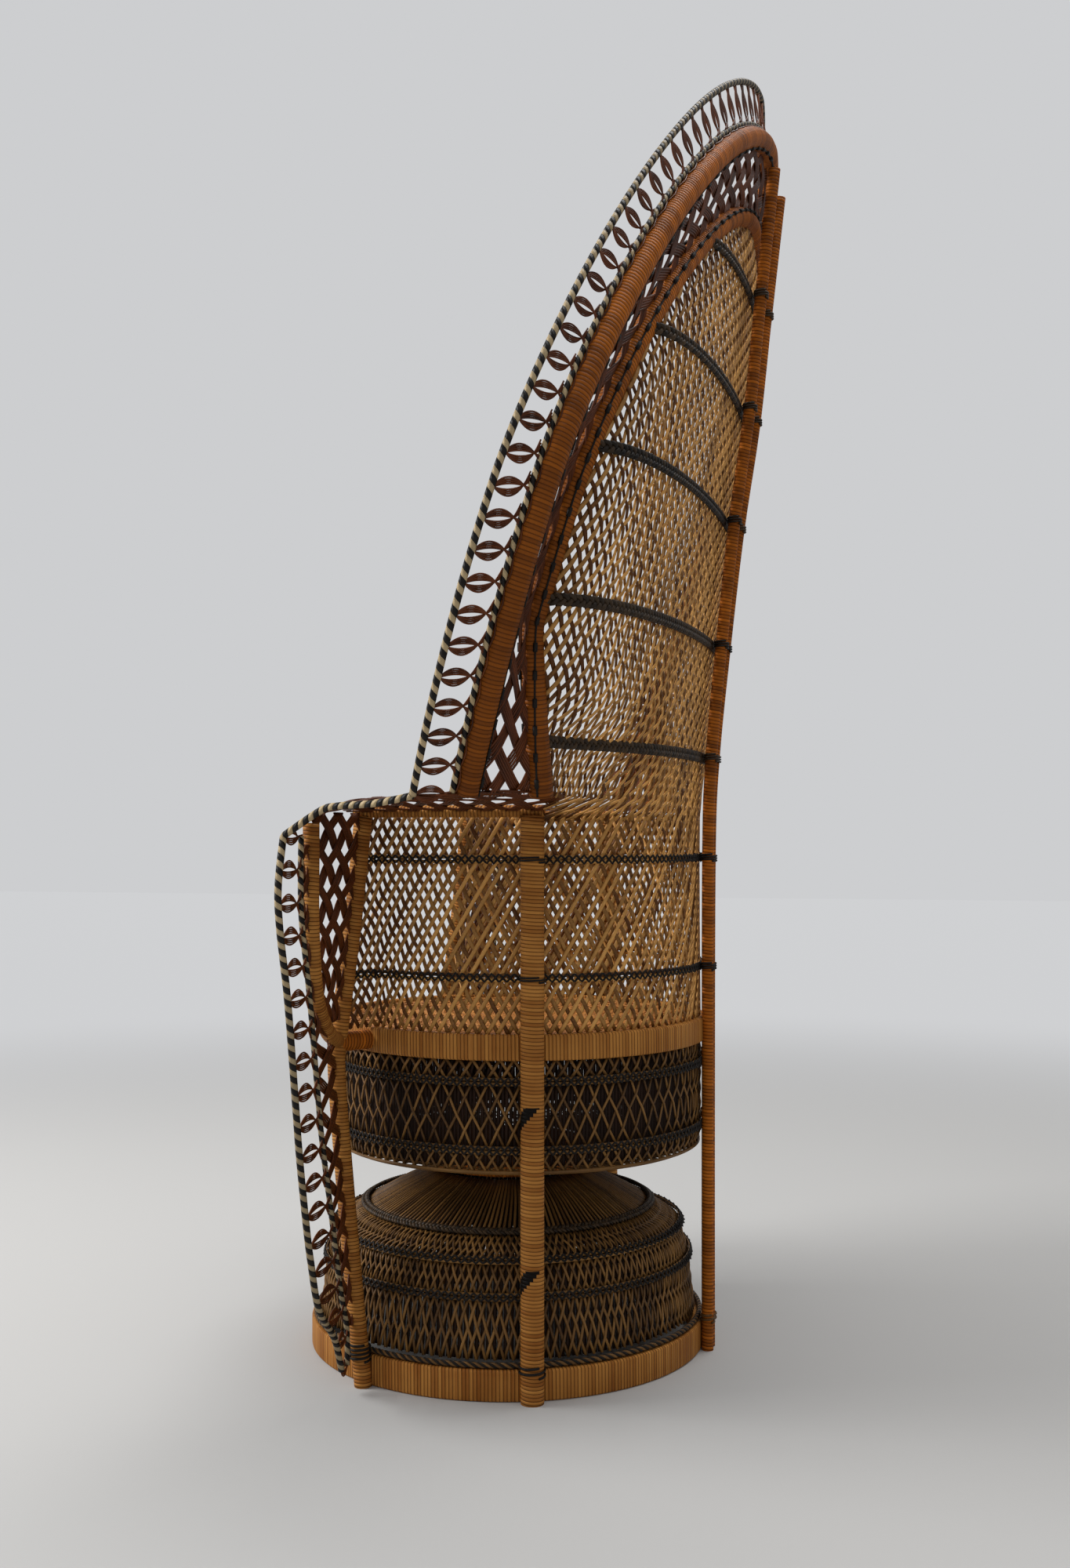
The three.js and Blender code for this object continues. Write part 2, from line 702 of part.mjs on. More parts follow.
// The pedestal's middle line from the foot braid up to the waist
function baseLine() {
  const legInner = Math.hypot(sideLegBack, sideLegLateral) - sideLegRadius;
  const lowRadius = legInner - clearance - 2 * braidRadius - clearance - weaveThickness / 2;
  const footRadius = legInner - 2 * clearance - weaveThickness / 2;
  const footHeight = footRingHeight + footBraidHeight + 2 * clearance;
  const shoulders = shoulderRadiusShares.map((share, i) => [
    lerp(waistRadius, lowRadius, share),
    lerp(footRingHeight, waistBottomHeight, shoulderHeightShares[i]),
  ]);
  return [
    [footRadius, footHeight],
    [lerp(footRadius, lowRadius, 1 / 2), lerp(footHeight, shoulders[0][1], 1 / 2)],
    ...shoulders,
    [lerp(shoulders[2][0], waistRadius, 1 / 2), lerp(shoulders[2][1], waistBottomHeight, 1 / 2)],
    [waistRadius - waistWall / 2, waistBottomHeight - weaveThickness],
  ];
}

// The drum's middle line from its mouth over the waist, under its floor and up to the seat ring
function drumLine() {
  const floor = waistTopHeight + clearance + weaveThickness / 2;
  const top = seatRingBottomHeight - clearance;
  const wallFoot = floor + drumShoulder;
  return [
    [drumMouthRadius, floor],
    [drumRadius - drumShoulder, floor],
    [drumRadius, wallFoot],
    ...drumBraidHeights.map((height) => [drumRadius, height]),
    [drumRadius, top],
  ];
}

function addBraids() {
  const line = baseLine().map(([radius, height]) => new THREE.Vector2(radius, height));
  [4, 3, 2].forEach((place, i) => {
    const along = line[place + 1].clone().sub(line[place - 1]).normalize();
    const radius = line[place].x + braidReach * along.y;
    const height = line[place].y - braidReach * along.x;
    const lean = Math.atan2(-along.x, along.y);
    put(`base_braid_${i + 1}`, black, (grow) => cordRing(radius, height, braidRadius + grow, 0, lean));
  });
  drumBraidHeights.forEach((height, i) => {
    put(`drum_braid_${i + 1}`, black, (grow) => (
      cordRing(drumRadius + braidReach, height, braidRadius + grow, drumBack, 0)
    ));
  });
  wallBandHeights.forEach((height, i) => {
    put(`band_${i + 1}`, black, (grow) => bandOn(wallGrid, height, grow));
  });
  hoodBandHeights.forEach((height, i) => {
    put(`band_${wallBandHeights.length + i + 1}`, black, (grow) => bandOn(hoodGrid, height, grow));
  });
}

// A strip of loops side by side between a rod and a rim: one oval opening to each loop
function lace(lines, grow) {
  const rows = [
    stepTowards(lines.rod, lines.rim, rodRadius + 2 * clearance),
    stepTowards(lines.rim, lines.rod, rimRadius + 2 * clearance),
  ];
  return sheet(rows, laceThickness, grow, [loopOpening], false);
}

function addLace() {
  put('hood_rod', striped, (grow) => cord(hoodLines.rod, rodRadius + grow, cordFacets));
  put('hood_lace', brown, (grow) => lace(hoodLines, grow));
  for (const [side, word] of [[leftSide, 'left'], [rightSide, 'right']]) {
    const lines = wingLines(side);
    put(`wing_rod_${word}`, striped, (grow) => cord(lines.rod, rodRadius + grow, cordFacets));
    put(`wing_lace_${word}`, brown, (grow) => lace(lines, grow));
  }
}

function addPedestalWeave() {
  put('base_basket', tan, (grow) => turnedSheet(baseLine(), 0, grow, [null]));
  put('drum_basket', tan, (grow) => (
    turnedSheet(drumLine(), drumBack, grow, [null, null, null, latticeOpening])
  ));
  put('seat_panel', honey, (grow) => {
    const radius = seatRingRadius - seatRingWall - clearance + grow;
    const top = seatHeight + grow;
    const low = seatHeight - seatThickness - grow;
    return ring([
      [0, low - seatDish],
      [seatFlatRadius, low - seatDish],
      [radius, low],
      [radius, top],
      [seatFlatRadius, top - seatDish],
      [0, top - seatDish],
    ], drumBack);
  });
}

function addBackWeave() {
  put('basket_wall', tan, (grow) => sheet(wallGrid, weaveThickness, grow, [null], false));
  put('back_hood', tan, (grow) => sheet(hoodGrid, weaveThickness, grow, [null], false));
  put('hood_diamond_lace', brown, (grow) => {
    const near = stepTowards(hoopLines.rod, hoopLines.rim, innerHoopRadius + 2 * clearance);
    const far = stepTowards(hoopLines.rim, hoopLines.rod, outerHoopRadius + 2 * clearance);
    const rows = [near, near.map((point, i) => point.clone().lerp(far[i], 1 / 2)), far];
    return sheet(rows, weaveThickness, grow, [latticeOpening], false);
  });
}

function addArmsAndWings() {
  const armRows = 2;
  const armColumns = 4;
  const wingRows = 4;
  for (const [side, word] of [[leftSide, 'left'], [rightSide, 'right']]) {
    put(`arm_panel_${word}`, brown, (grow) => {
      const rows = [];
      for (let i = 0; i <= armRows; i += 1) {
        const row = [];
        for (let j = 0; j <= armColumns; j += 1) row.push(armPoint(side, j / armColumns, i / armRows));
        rows.push(row);
      }
      return sheet(rows, weaveThickness, grow, [latticeOpening], false);
    });
    put(`wing_panel_${word}`, brown, (grow) => {
      const top = armHeight - 2 * weaveThickness;
      const foot = wingTubeFootHeight + 3 * wingTubeRadius;
      const rows = [];
      for (let i = 0; i <= wingRows; i += 1) {
        const height = lerp(foot, top, i / wingRows);
        const leg = pointAtHeight(frontLegPoints(side), height);
        const bar = pointAtHeight(wingTubePoints(side), height);
        rows.push([0, 1 / 3, 2 / 3, 1].map((share) => leg.clone().lerp(bar, share).setZ(height)));
      }
      return sheet(rows, weaveThickness, grow, [latticeOpening], false);
    });
    put(`wing_web_${word}`, brown, (grow) => {
      const rod = wingRodPoints(side);
      const rows = rod.slice(0, -1).map((point) => {
        const holder = point.z > wingTubeFootHeight ? wingTubePoints(side) : frontLegPoints(side);
        const near = pointAtHeight(holder, point.z).setZ(point.z);
        return [near, point];
      });
      return sheet(rows.reverse(), weaveThickness, grow, [latticeOpening], false);
    });
  }
}

addFrame();
addRings();
addBraids();
addLace();
addPedestalWeave();
addBackWeave();
addArmsAndWings();

// The chair stands with the middle of its length over the origin
const extent = new THREE.Box3().setFromObject(chair);
chair.position.y = -(extent.min.y + extent.max.y) / 2;

export default chair;
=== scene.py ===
"""A peacock chair of wound and woven rattan, with a plain studio round it.

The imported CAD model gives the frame. Every node of it is made again here in real cane: poles and
hoops are wound, sheets become strands that pass over and under one another, and the borders become
loops and crossings.
"""

import math
import random

import bmesh
import bpy
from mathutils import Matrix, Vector


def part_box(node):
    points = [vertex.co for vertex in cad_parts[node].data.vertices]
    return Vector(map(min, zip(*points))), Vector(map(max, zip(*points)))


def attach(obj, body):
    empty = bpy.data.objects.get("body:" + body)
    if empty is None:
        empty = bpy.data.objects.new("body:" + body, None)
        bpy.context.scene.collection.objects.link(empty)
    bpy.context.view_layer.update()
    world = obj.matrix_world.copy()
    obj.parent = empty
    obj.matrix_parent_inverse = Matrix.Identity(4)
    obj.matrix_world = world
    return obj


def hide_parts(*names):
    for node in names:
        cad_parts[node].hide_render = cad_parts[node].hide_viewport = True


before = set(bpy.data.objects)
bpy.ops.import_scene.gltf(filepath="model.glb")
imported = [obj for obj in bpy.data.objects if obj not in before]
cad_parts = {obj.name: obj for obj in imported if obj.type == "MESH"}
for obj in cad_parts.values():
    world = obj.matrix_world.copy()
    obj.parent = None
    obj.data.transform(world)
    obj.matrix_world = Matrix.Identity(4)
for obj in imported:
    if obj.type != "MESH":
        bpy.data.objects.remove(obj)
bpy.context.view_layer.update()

bl_info = {
    "name": "Peacock chair",
    "version": (1, 0, 0),
    "blender": (4, 5, 0),
    "location": "3D view > Sidebar > Chair",
    "description": "Rebuilds a woven rattan peacock chair on its packed frame",
    "category": "Add Mesh",
}

# The middle of the foot ring in the frame, in metres

ring_low, ring_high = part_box("foot_ring")
RING_BACK = (ring_low.y + ring_high.y) / 2
MM_PER_METRE = 1000

# The chair's own lines, in millimetres from that middle

LEFT, RIGHT = 1, -1
SIDES = ((LEFT, "left"), (RIGHT, "right"))
UP = Vector((0, 0, 1))
BACKWARDS = Vector((0, 1, 0))
TOUCHING_GAP = 0.3

# How finely the lines are cut
ARCH_SIDE_STEPS = 24
ARCH_CROWN_STEPS = 48
CURVE_STEPS = 10
PLAN_STEPS = 60

# An arch's halfwidth and the height at which it has it, its crown, its feet, and how it leans back
RIM_ARCH = {"half": 550, "widest": 975, "crown": 1553, "foot": 680, "foot_half": 480,
            "foot_back": 22, "line_back": 22, "lean": 0.345}
OUTER_ARCH = {"half": 505, "widest": 985, "crown": 1486, "foot": 684, "foot_half": 440,
              "foot_back": 66, "line_back": 66, "lean": 0.33}
INNER_ARCH = {"half": 440, "widest": 975, "crown": 1395, "foot": 682, "foot_half": 380,
              "foot_back": 130, "line_back": 75, "lean": 0.33}
CROWN_WIDTH_POWER = 1.24
CROWN_HEIGHT_POWER = 1.25

OUTER_HOOP_RADIUS = 13
INNER_HOOP_RADIUS = 12.5
ROD_RADIUS = 3.2
RIM_RADIUS = 3.8
ROD_STANDOFF = 16

FOOT_RING = {"radius": 250, "wall": 14, "bottom": 0, "top": 36, "back": 0}
WAIST_RING = {"radius": 98, "wall": 10, "bottom": 221, "top": 250, "back": 0}
SEAT_RING = {"radius": 238, "wall": 14, "bottom": 384, "top": 414, "back": 15}
FOOT_ROPE = {"radius": 244.5, "height": 40.2, "turns": 72, "wide": 1.9}

LEG_RADIUS = 13.5
LEG_LATERAL = 237.5
LEG_BACK = 87
ARM_HEIGHT = 662.7
FRONT_LEG_RADIUS = 10.5
FRONT_LEG_LATERAL = 228
FRONT_LEG_FORWARD = 117
FRONT_LEG_BOW = 32
FRONT_LEG_HEIGHTS = (0, 0.27, 0.53, 0.61, 0.8, 1)
FRONT_LEG_BOWS = (0, 0.55, 1, 0.95, 0.44, 0)
TIE_RADIUS = 11.5
TIE_HEIGHT = 399
TIE_BITE = 4

POLE_RADIUS = 7.5
POLE_HEIGHT = 1472
POLE_DRAWN_TOP = 1456
POLE_BACK = 257.8
POLE_LEAN = 88
POLE_LATERALS = (8.6, 45)
POLE_HEIGHTS = (0, 0.21, 0.42, 0.5, 0.594, 0.696, 0.788, 0.88, 1)
POLE_LEANS = (0, 0, 0.01, 0.06, 0.21, 0.4, 0.62, 0.78, 1)
POLE_SPLAYS = (0, 0, 0.05, 0.15, 0.3, 0.5, 0.7, 0.85, 1)
POLE_STANDOFF = 16.7

SEAT_HEIGHT = 414.3
# The solid wall ends at the first height, its plan is as wide as the arms at the next, and its weave
# ends at the last, inside the foot of the hood.
WALL_TOP = 659
WALL_PLAN_TOP = 663
WALL_WOVEN_TOP = 664
WALL_RADIUS = 229
WALL_FRONT_ANGLE = math.radians(54)
WALL_STRAIGHT = 0.4
WALL_LATERAL = 215.1
WALL_BANDS = (478, 613)
HOOD_BANDS = (737, 876, 1027, 1163, 1298)
BAND_STANDOFF = 4.2

# The hood closes in to the crown from one height, and is drawn in at its foot up to another
HOOD_CLOSING = 1298
HOOD_HOOP_GAP = 3
FAN_TOP = 800
FAN_POWER = 6

# The pale strands of the weave lean one way and the other strands are darker as painted shade, and both get
# painted shade this far in from the edges
LIT_LEAN = -1
SHADED_EDGE = 90
WEAVE_GAP = 0.5

ARM_RIM_HEIGHTS = (1, 0.82, 0.77, 0.65, 0)
ARM_RIM_WIDTHS = (1, 0.75, 0.38, 0.13, 0)
ARM_RIM_FORWARDS = (0, 0.28, 0.56, 0.72, 1)
WING_FORWARD = 130
WING_TOP = (640, 440)
WING_FOOT = (30, 266)
WING_HEIGHTS = (1, 0.916, 0.844, 0.716, 0.533, 0.439, 0.316, 0.243, 0.148, 0.07, 0)
WING_WIDTHS = (1, 1.08, 1.057, 0.931, 0.805, 0.741, 0.632, 0.552, 0.414, 0.132, 0)
WING_LACE_WIDTH = 62
WING_LACE_SHARES = (0.8, 1, 1, 1, 1.05, 1.1, 1.2, 1.2, 1.12, 0.65, 0.3)
ARM_RAIL_RADIUS = 5
ARM_RAIL_DRAWN = 7.2
ARM_DOME = 12
ARM_BULGE = 78
WING_TUBE_RADIUS = 9
WING_TUBE_LATERAL = 361
WING_TUBE_HEIGHTS = (1, 0.9, 0.6, 0.27, 0.08, 0)
WING_TUBE_WIDTHS = (1, 1, 1, 0.84, 0.42, 0)
WING_TUBE_FOOT = 400
WING_TUBE_RISE = 14
WING_PANEL_FOOT = 427
WING_PANEL_TOP = 665.7
WING_WEB_FOOT = 74
WING_WEB_TOP = 630

# The lace: half the width of each pair of an eye's strands, and where they cross as shares of the eye
EYE_WIDTHS = (9.2, 7.0, 4.9, 2.8)
EYE_SPACE = 33
EYE_START_SHARE = 0.2
EYE_END_SHARE = 0.93
EYE_FLARE = 1.5
EYE_TIE = 0.4
EYE_LIFT = 1.3
EYE_STEPS = 18
HOOD_LOOPS = 72
WING_LOOPS = 18
SCALLOP_STEPS = 8
SCALLOP_TURNS = (8, 14)

# The open panels: cells across and up, and where the strands of a bundle lie as shares of a cell
HOOP_CELLS = (40, 2)
ARM_CELLS = (8, 4)
WING_CELLS = (3, 6)
WEB_CELLS = (1, 14)
BUNDLE_SHARES = (-0.2, -0.1, 0, 0.1, 0.2)
WEB_BUNDLE_SHARES = (-0.16, -0.08, 0, 0.08, 0.16)
CELL_CUTS = 8

# The pedestal's outlines as radius and height, and the back of the drum's axis
BASE_LINE = ((236.8, 43.9), (232.8, 78), (228.8, 113), (218, 150), (181, 173), (137, 197), (93, 217))
DRUM_LINE = ((82, 254), (218, 254), (227, 258), (230, 266), (230, 383))
DRUM_BACK = 15
DRUM_RADIUS = 230
DRUM_BRAIDS = (282, 360)
DRUM_BRAID_STANDOFF = 5
BASE_BRAID_STANDOFF = 4.4
SHADE_STAKE_RADIUS = 226
BRAID_CUTS = 900

# The seat: its strands run out from a hub and round it
SEAT_SPOKES = 72
SEAT_HUB = 12
SEAT_REACH = 224
SEAT_ROUND = 6
SEAT_EDGE_HEIGHT = 409.6
SEAT_DISH = 4
SEAT_DISH_RADII = (70, 150)

# Width, thickness and number of sides of each strand and cord
HOOP_CORD = (2.2, 1.6, 5)
HOOP_DASH = (4.8, 3.6, 6)
ROPE_STRAND = (3.2, 2.8, 6)
FOOT_CORD = (3, 2.4, 6)
POLE_CORD = (2.6, 2.0, 5)
LEG_CORD = (2.4, 1.8, 5)
STITCH_CORD = (2.6, 2.0, 5)
STITCH_CORE = (4.2, 2.6, 6)
HOOD_PLAIT_STRAND = (5.2, 3.0, 6)
BASE_PLAIT_STRAND = (4.4, 3.0, 6)
DRUM_STRAND = (3.2, 2.2, 6)
DRUM_EDGE_CORD = (4, 3.4, 6)
SEAT_SPOKE_STRAND = (4.4, 2.2, 6)
SEAT_ROUND_STRAND = (4.8, 2.0, 6)
SEAT_HUB_STRAND = (11.6, 3, 6)

# The weaves of the pedestal. Each has the line that it covers, its rows, its strands, how far a strand
# leans from one row to the next as a share of the space between two, its section and how far it rises
# over those that it crosses.
BASE_WEAVES = (
    (BASE_LINE[:3], 4, 140, 0.5, (3.5, 2.2, 6), 1.2),
    (BASE_LINE[2:4], 3, 150, 0.5, (3.2, 2.0, 6), 1.1),
    (BASE_LINE[3:5], 4, 156, 0.5, (3.1, 2.0, 6), 1.1))
BASE_SPOKES = (BASE_LINE[4:], 6, 180, 0.25, (3.3, 2.4, 6), 0)
# the stakes are a dark layer inside the weaves, coloured as painted shade for the inside of the pedestal
BASE_SHADE_STAKES = (
    ([(radius - 3.4, height) for radius, height in BASE_LINE[:5]], 10, 220, 0.03, (5.6, 1.6, 5), 0),
    ([(radius, height - 3.2) for radius, height in BASE_LINE[4:]], 6, 150, 0.03, (7.2, 1.6, 5), 0))
DRUM_WEAVES = (
    (DRUM_LINE[:3], 5, 100, 0.5, (3.4, 2.0, 6), 1.1),
    (((228, 258), (DRUM_RADIUS, 266), (DRUM_RADIUS, DRUM_BRAIDS[0])), 2, 96, 0.5, DRUM_STRAND, 1.1),
    (((DRUM_RADIUS, DRUM_BRAIDS[0]), (DRUM_RADIUS, DRUM_BRAIDS[1])), 4, 76, 0.5, DRUM_STRAND, 1.2),
    (((DRUM_RADIUS, DRUM_BRAIDS[1]), (DRUM_RADIUS, 385)), 2, 90, 0.5, (3.6, 2.0, 6), 1.1))
DRUM_SHADE_STAKES = (
    (((SHADE_STAKE_RADIUS, 262), (SHADE_STAKE_RADIUS, 356)), 8, 300, 0.03, (4.8, 1.6, 5), 0),
    (((SHADE_STAKE_RADIUS, 356), (SHADE_STAKE_RADIUS, 384)), 3, 210, 0.4, (4.2, 1.6, 5), 0))
DRUM_EDGES = ((229, 256), (224, 254))

# Finishes: lengths in metres, and heights between which a colour changes
LEG_PATCHES = {"heights": (0.135, 0.318), "half": 0.017, "step_share": 0.045, "start_share": 0.31,
               "width_share": 0.2}
# the hoops are painted darker from the first height down to the second, as painted shade
HOOP_SHADE_HEIGHTS = (1.25, 0.85)
CROWN_STAIN_HEIGHTS = (1.15, 1.45)
FOOT_STAIN_HEIGHTS = (0.68, 0.3)

# The room: the strength and colour of its light, and how the camera alone sees what lies far off
ROOM_TINT = "#D9DADC"
ROOM_LIGHT = 0.62
ROOM_SEEN = 0.88
FLOOR_HALF = 14
FLOOR_FADES = (1.2, 3.8)
LAMP_AIM = (0, 0, 0.8)
# name, place and size in metres, and power in watts
LAMPS = (
    ("Window light", (0.9, -3.2, 2.6), 1.7, 138),
    ("Top light", (-0.6, 0.6, 3.6), 1.8, 60),
    ("Fill light", (3.4, 1.4, 1.8), 2.6, 8))
CAMERA_PLACE = (1.960, 0.488 + RING_BACK, 0.641)
CAMERA_AIM = (-0.974, -0.225, 0)
CAMERA_LENS = 36
CAMERA_SHIFT = 0.0325
CAMERA_REACH = 60
RANDOM_SEED = 7


class ChairSizes(bpy.types.PropertyGroup):
    """Widths and pitches of the cane."""

    strand_width: bpy.props.FloatProperty(
        name="Strand width", description="Width of a split strand in the hood and the walls",
        default=0.0049, min=0.002, max=0.008, unit="LENGTH")
    strand_thickness: bpy.props.FloatProperty(
        name="Strand thickness", description="Thickness of a split strand",
        default=0.0022, min=0.001, max=0.004, unit="LENGTH")
    weave_pitch: bpy.props.FloatProperty(
        name="Weave pitch", description="Distance along a row between strands that lean the same way",
        default=0.0118, min=0.008, max=0.03, unit="LENGTH")
    weave_row: bpy.props.FloatProperty(
        name="Weave row", description="Height of one row of crossings in the hood and the walls",
        default=0.0105, min=0.006, max=0.03, unit="LENGTH")
    wrap_pitch: bpy.props.FloatProperty(
        name="Wrap pitch", description="Width of one turn of the cane that wraps the poles and hoops",
        default=0.0042, min=0.002, max=0.01, unit="LENGTH")
    stripe_pitch: bpy.props.FloatProperty(
        name="Stripe pitch", description="Length of one black and one cream turn on a rim",
        default=0.014, min=0.008, max=0.03, unit="LENGTH")
    plait_pitch: bpy.props.FloatProperty(
        name="Plait pitch", description="Length of one turn of a black plait",
        default=0.022, min=0.01, max=0.04, unit="LENGTH")
    stitch_pitch: bpy.props.FloatProperty(
        name="Stitch pitch", description="Length of one black cross stitch on a pale band",
        default=0.017, min=0.008, max=0.04, unit="LENGTH")
    lace_strand: bpy.props.FloatProperty(
        name="Lace strand", description="Width of a strand in the lace borders",
        default=0.0026, min=0.001, max=0.005, unit="LENGTH")


def linear(code):
    """An sRGB hex colour as linear values."""
    channels = [int(code[i:i + 2], 16) / 255 for i in (1, 3, 5)]
    return tuple(c / 12.92 if c <= 0.04045 else ((c + 0.055) / 1.055) ** 2.4 for c in channels)


class ChairColours(bpy.types.PropertyGroup):
    """Colours of the cane and of the room."""

    amber: bpy.props.FloatVectorProperty(
        name="Amber cane", description="Colour of the cane round the hoops, the rear poles and the waist",
        subtype="COLOR", default=linear("#B8671C"), min=0, max=1)
    # the dark amber is also the painted shade on the lower parts of the hoops
    amber_dark: bpy.props.FloatVectorProperty(
        name="Aged and shaded amber cane", description="Darkest turns of the amber cane",
        subtype="COLOR", default=linear("#5C3010"), min=0, max=1)
    honey: bpy.props.FloatVectorProperty(
        name="Honey cane", description="Colour of the cane round the legs, the arms and the rings",
        subtype="COLOR", default=linear("#BA803E"), min=0, max=1)
    honey_dark: bpy.props.FloatVectorProperty(
        name="Aged honey cane", description="Darkest turns of the honey cane",
        subtype="COLOR", default=linear("#7C4415"), min=0, max=1)
    strand: bpy.props.FloatVectorProperty(
        name="Woven strand", description="Light colour of the woven strands",
        subtype="COLOR", default=linear("#E0A75B"), min=0, max=1)
    # the woven strands reach this dark colour by random tone, and in the back's weave also by painted shade
    strand_dark: bpy.props.FloatVectorProperty(
        name="Aged strand", description="Dark colour of the woven strands",
        subtype="COLOR", default=linear("#54300F"), min=0, max=1)
    pedestal: bpy.props.FloatVectorProperty(
        name="Pedestal strand", description="Light colour of the strands in the pedestal",
        subtype="COLOR", default=linear("#906836"), min=0, max=1)
    # the dark pedestal colour is also the painted shade of the inner stakes
    pedestal_dark: bpy.props.FloatVectorProperty(
        name="Aged pedestal strand", description="Dark colour of the strands in the pedestal",
        subtype="COLOR", default=linear("#2C180A"), min=0, max=1)
    lace: bpy.props.FloatVectorProperty(
        name="Lace strand", description="Colour of the strands of the loops and crossings",
        subtype="COLOR", default=linear("#6E3816"), min=0, max=1)
    lace_dark: bpy.props.FloatVectorProperty(
        name="Aged lace strand", description="Darkest strands of the loops and crossings",
        subtype="COLOR", default=linear("#2C150A"), min=0, max=1)
    black: bpy.props.FloatVectorProperty(
        name="Black cane", description="Colour of the dyed cane",
        subtype="COLOR", default=linear("#120E0B"), min=0, max=1)
    braid: bpy.props.FloatVectorProperty(
        name="Braid cane", description="Lit colour of the plaited bands, where the dye has worn",
        subtype="COLOR", default=linear("#4A3824"), min=0, max=1)
    cream: bpy.props.FloatVectorProperty(
        name="Cream cane", description="Pale turns on the rims and the rods",
        subtype="COLOR", default=linear("#C8B086"), min=0, max=1)
    floor: bpy.props.FloatVectorProperty(
        name="Floor", description="Colour of the studio floor",
        subtype="COLOR", default=linear("#B9B8B6"), min=0, max=1)


def lerp(start, end, share):
    """The value that share of the way from start to end."""
    return start + (end - start) * share


def smoothed(points, steps):
    """A smooth line through the points, with that many steps to each span."""
    line = []
    last = len(points) - 1
    for i in range(last):
        before, start, end, after = (points[max(i - 1, 0)], points[i], points[i + 1],
                                     points[min(i + 2, last)])
        for k in range(steps):
            t = k / steps
            line.append(0.5 * (2 * start + (end - before) * t
                               + (2 * before - 5 * start + 4 * end - after) * t * t
                               + (3 * start - before - 3 * end + after) * t ** 3))
    line.append(points[last].copy())
    return line


def distances(line):
    """How far along a line each of its points is."""
    found = [0.0]
    for start, end in zip(line, line[1:]):
        found.append(found[-1] + (end - start).length)
    return found


def even_places(line, count):
    """Even distances along a line, each as the number of its span and a share of that span."""
    reach = distances(line)
    found = []
    i = 0
    for k in range(count + 1):
        distance = reach[-1] * k / count
        while i < len(line) - 2 and reach[i + 1] < distance:
            i += 1
        span = reach[i + 1] - reach[i]
        found.append((i, (distance - reach[i]) / span if span else 0))
    return found


def cut_at(line, places):
    """The points of a line at such places."""
    return [line[i].lerp(line[i + 1], share) for i, share in places]


def spaced(line, step):
    """The same line with its points an even step apart."""
    return cut_at(line, even_places(line, max(2, round(distances(line)[-1] / step))))


def paired(inner, outer, count):
    """Two lines cut at the same places, evenly spaced along the inner one."""
    places = even_places(inner, count)
    return cut_at(inner, places), cut_at(outer, places)


def at_height(points, height):
    """The point of a rising or falling line at a height."""
    line = points if points[-1].z > points[0].z else points[::-1]
    for low, high in zip(line, line[1:]):
        if high.z >= height:
            return low.lerp(high, (height - low.z) / (high.z - low.z))
    return line[-1].copy()


def arch_half(arch, height):
    """Half the width of an arch at a height."""
    if height < arch["widest"]:
        drop = (arch["widest"] - height) / (arch["widest"] - arch["foot"])
        return lerp(arch["half"], arch["foot_half"], drop ** 2)
    rise = (height - arch["widest"]) / (arch["crown"] - arch["widest"])
    return arch["half"] * max(0, 1 - rise ** (2 / CROWN_HEIGHT_POWER)) ** (CROWN_WIDTH_POWER / 2)


def arch_back(arch, height):
    """How far back an arch is at a height."""
    return max(arch["foot_back"], arch["line_back"] + arch["lean"] * (height - arch["foot"]))


def mirrored(line):
    """A line on the chair's left, from its end to its start, on the chair's right."""
    return [Vector((-p.x, p.y, p.z)) for p in reversed(line)]


def arch_line(arch):
    """An arch from its left foot over the crown to its right foot."""
    heights = [lerp(arch["foot"], arch["widest"], i / ARCH_SIDE_STEPS) for i in range(ARCH_SIDE_STEPS)]
    for i in range(ARCH_CROWN_STEPS + 1):
        rise = math.sin(math.pi / 2 * i / ARCH_CROWN_STEPS) ** CROWN_HEIGHT_POWER
        heights.append(lerp(arch["widest"], arch["crown"], rise))
    left = [Vector((arch_half(arch, z), arch_back(arch, z), z)) for z in heights]
    return left + mirrored(left[:-1])


def stepped(line, towards, distance):
    """Each point of a line moved a distance towards its fellow on another line."""
    return [p.lerp(q, distance / (q - p).length) for p, q in zip(line, towards)]


RIM_LINE = arch_line(RIM_ARCH)
OUTER_LINE = arch_line(OUTER_ARCH)
INNER_LINE = arch_line(INNER_ARCH)
ROD_LINE = stepped(OUTER_LINE, RIM_LINE, ROD_STANDOFF)


def side_leg_line(side):
    """A side leg from the floor to the arm."""
    return [Vector((side * LEG_LATERAL, LEG_BACK, z)) for z in (0, ARM_HEIGHT)]


def front_leg_line(side):
    """A front leg, which bows forward at seat height."""
    return smoothed([Vector((side * FRONT_LEG_LATERAL, -FRONT_LEG_FORWARD - FRONT_LEG_BOW * bow,
                             ARM_HEIGHT * height))
                     for height, bow in zip(FRONT_LEG_HEIGHTS, FRONT_LEG_BOWS)], CURVE_STEPS)


def pole_line(side):
    """A rear pole, which leans back and away from its fellow as it rises."""
    return smoothed([Vector((side * lerp(*POLE_LATERALS, splay), POLE_BACK + POLE_LEAN * lean,
                             POLE_HEIGHT * height))
                     for height, lean, splay in zip(POLE_HEIGHTS, POLE_LEANS, POLE_SPLAYS)], CURVE_STEPS)


def arm_rim_line(side):
    """The rim of an arm, from the foot of the hood's rim forward to the wing."""
    return smoothed([Vector((side * lerp(WING_TOP[1], RIM_ARCH["foot_half"], width),
                             lerp(RIM_ARCH["foot_back"], -WING_FORWARD, forward),
                             lerp(WING_TOP[0], RIM_ARCH["foot"] - TOUCHING_GAP, height)))
                     for height, width, forward
                     in zip(ARM_RIM_HEIGHTS, ARM_RIM_WIDTHS, ARM_RIM_FORWARDS)], CURVE_STEPS)


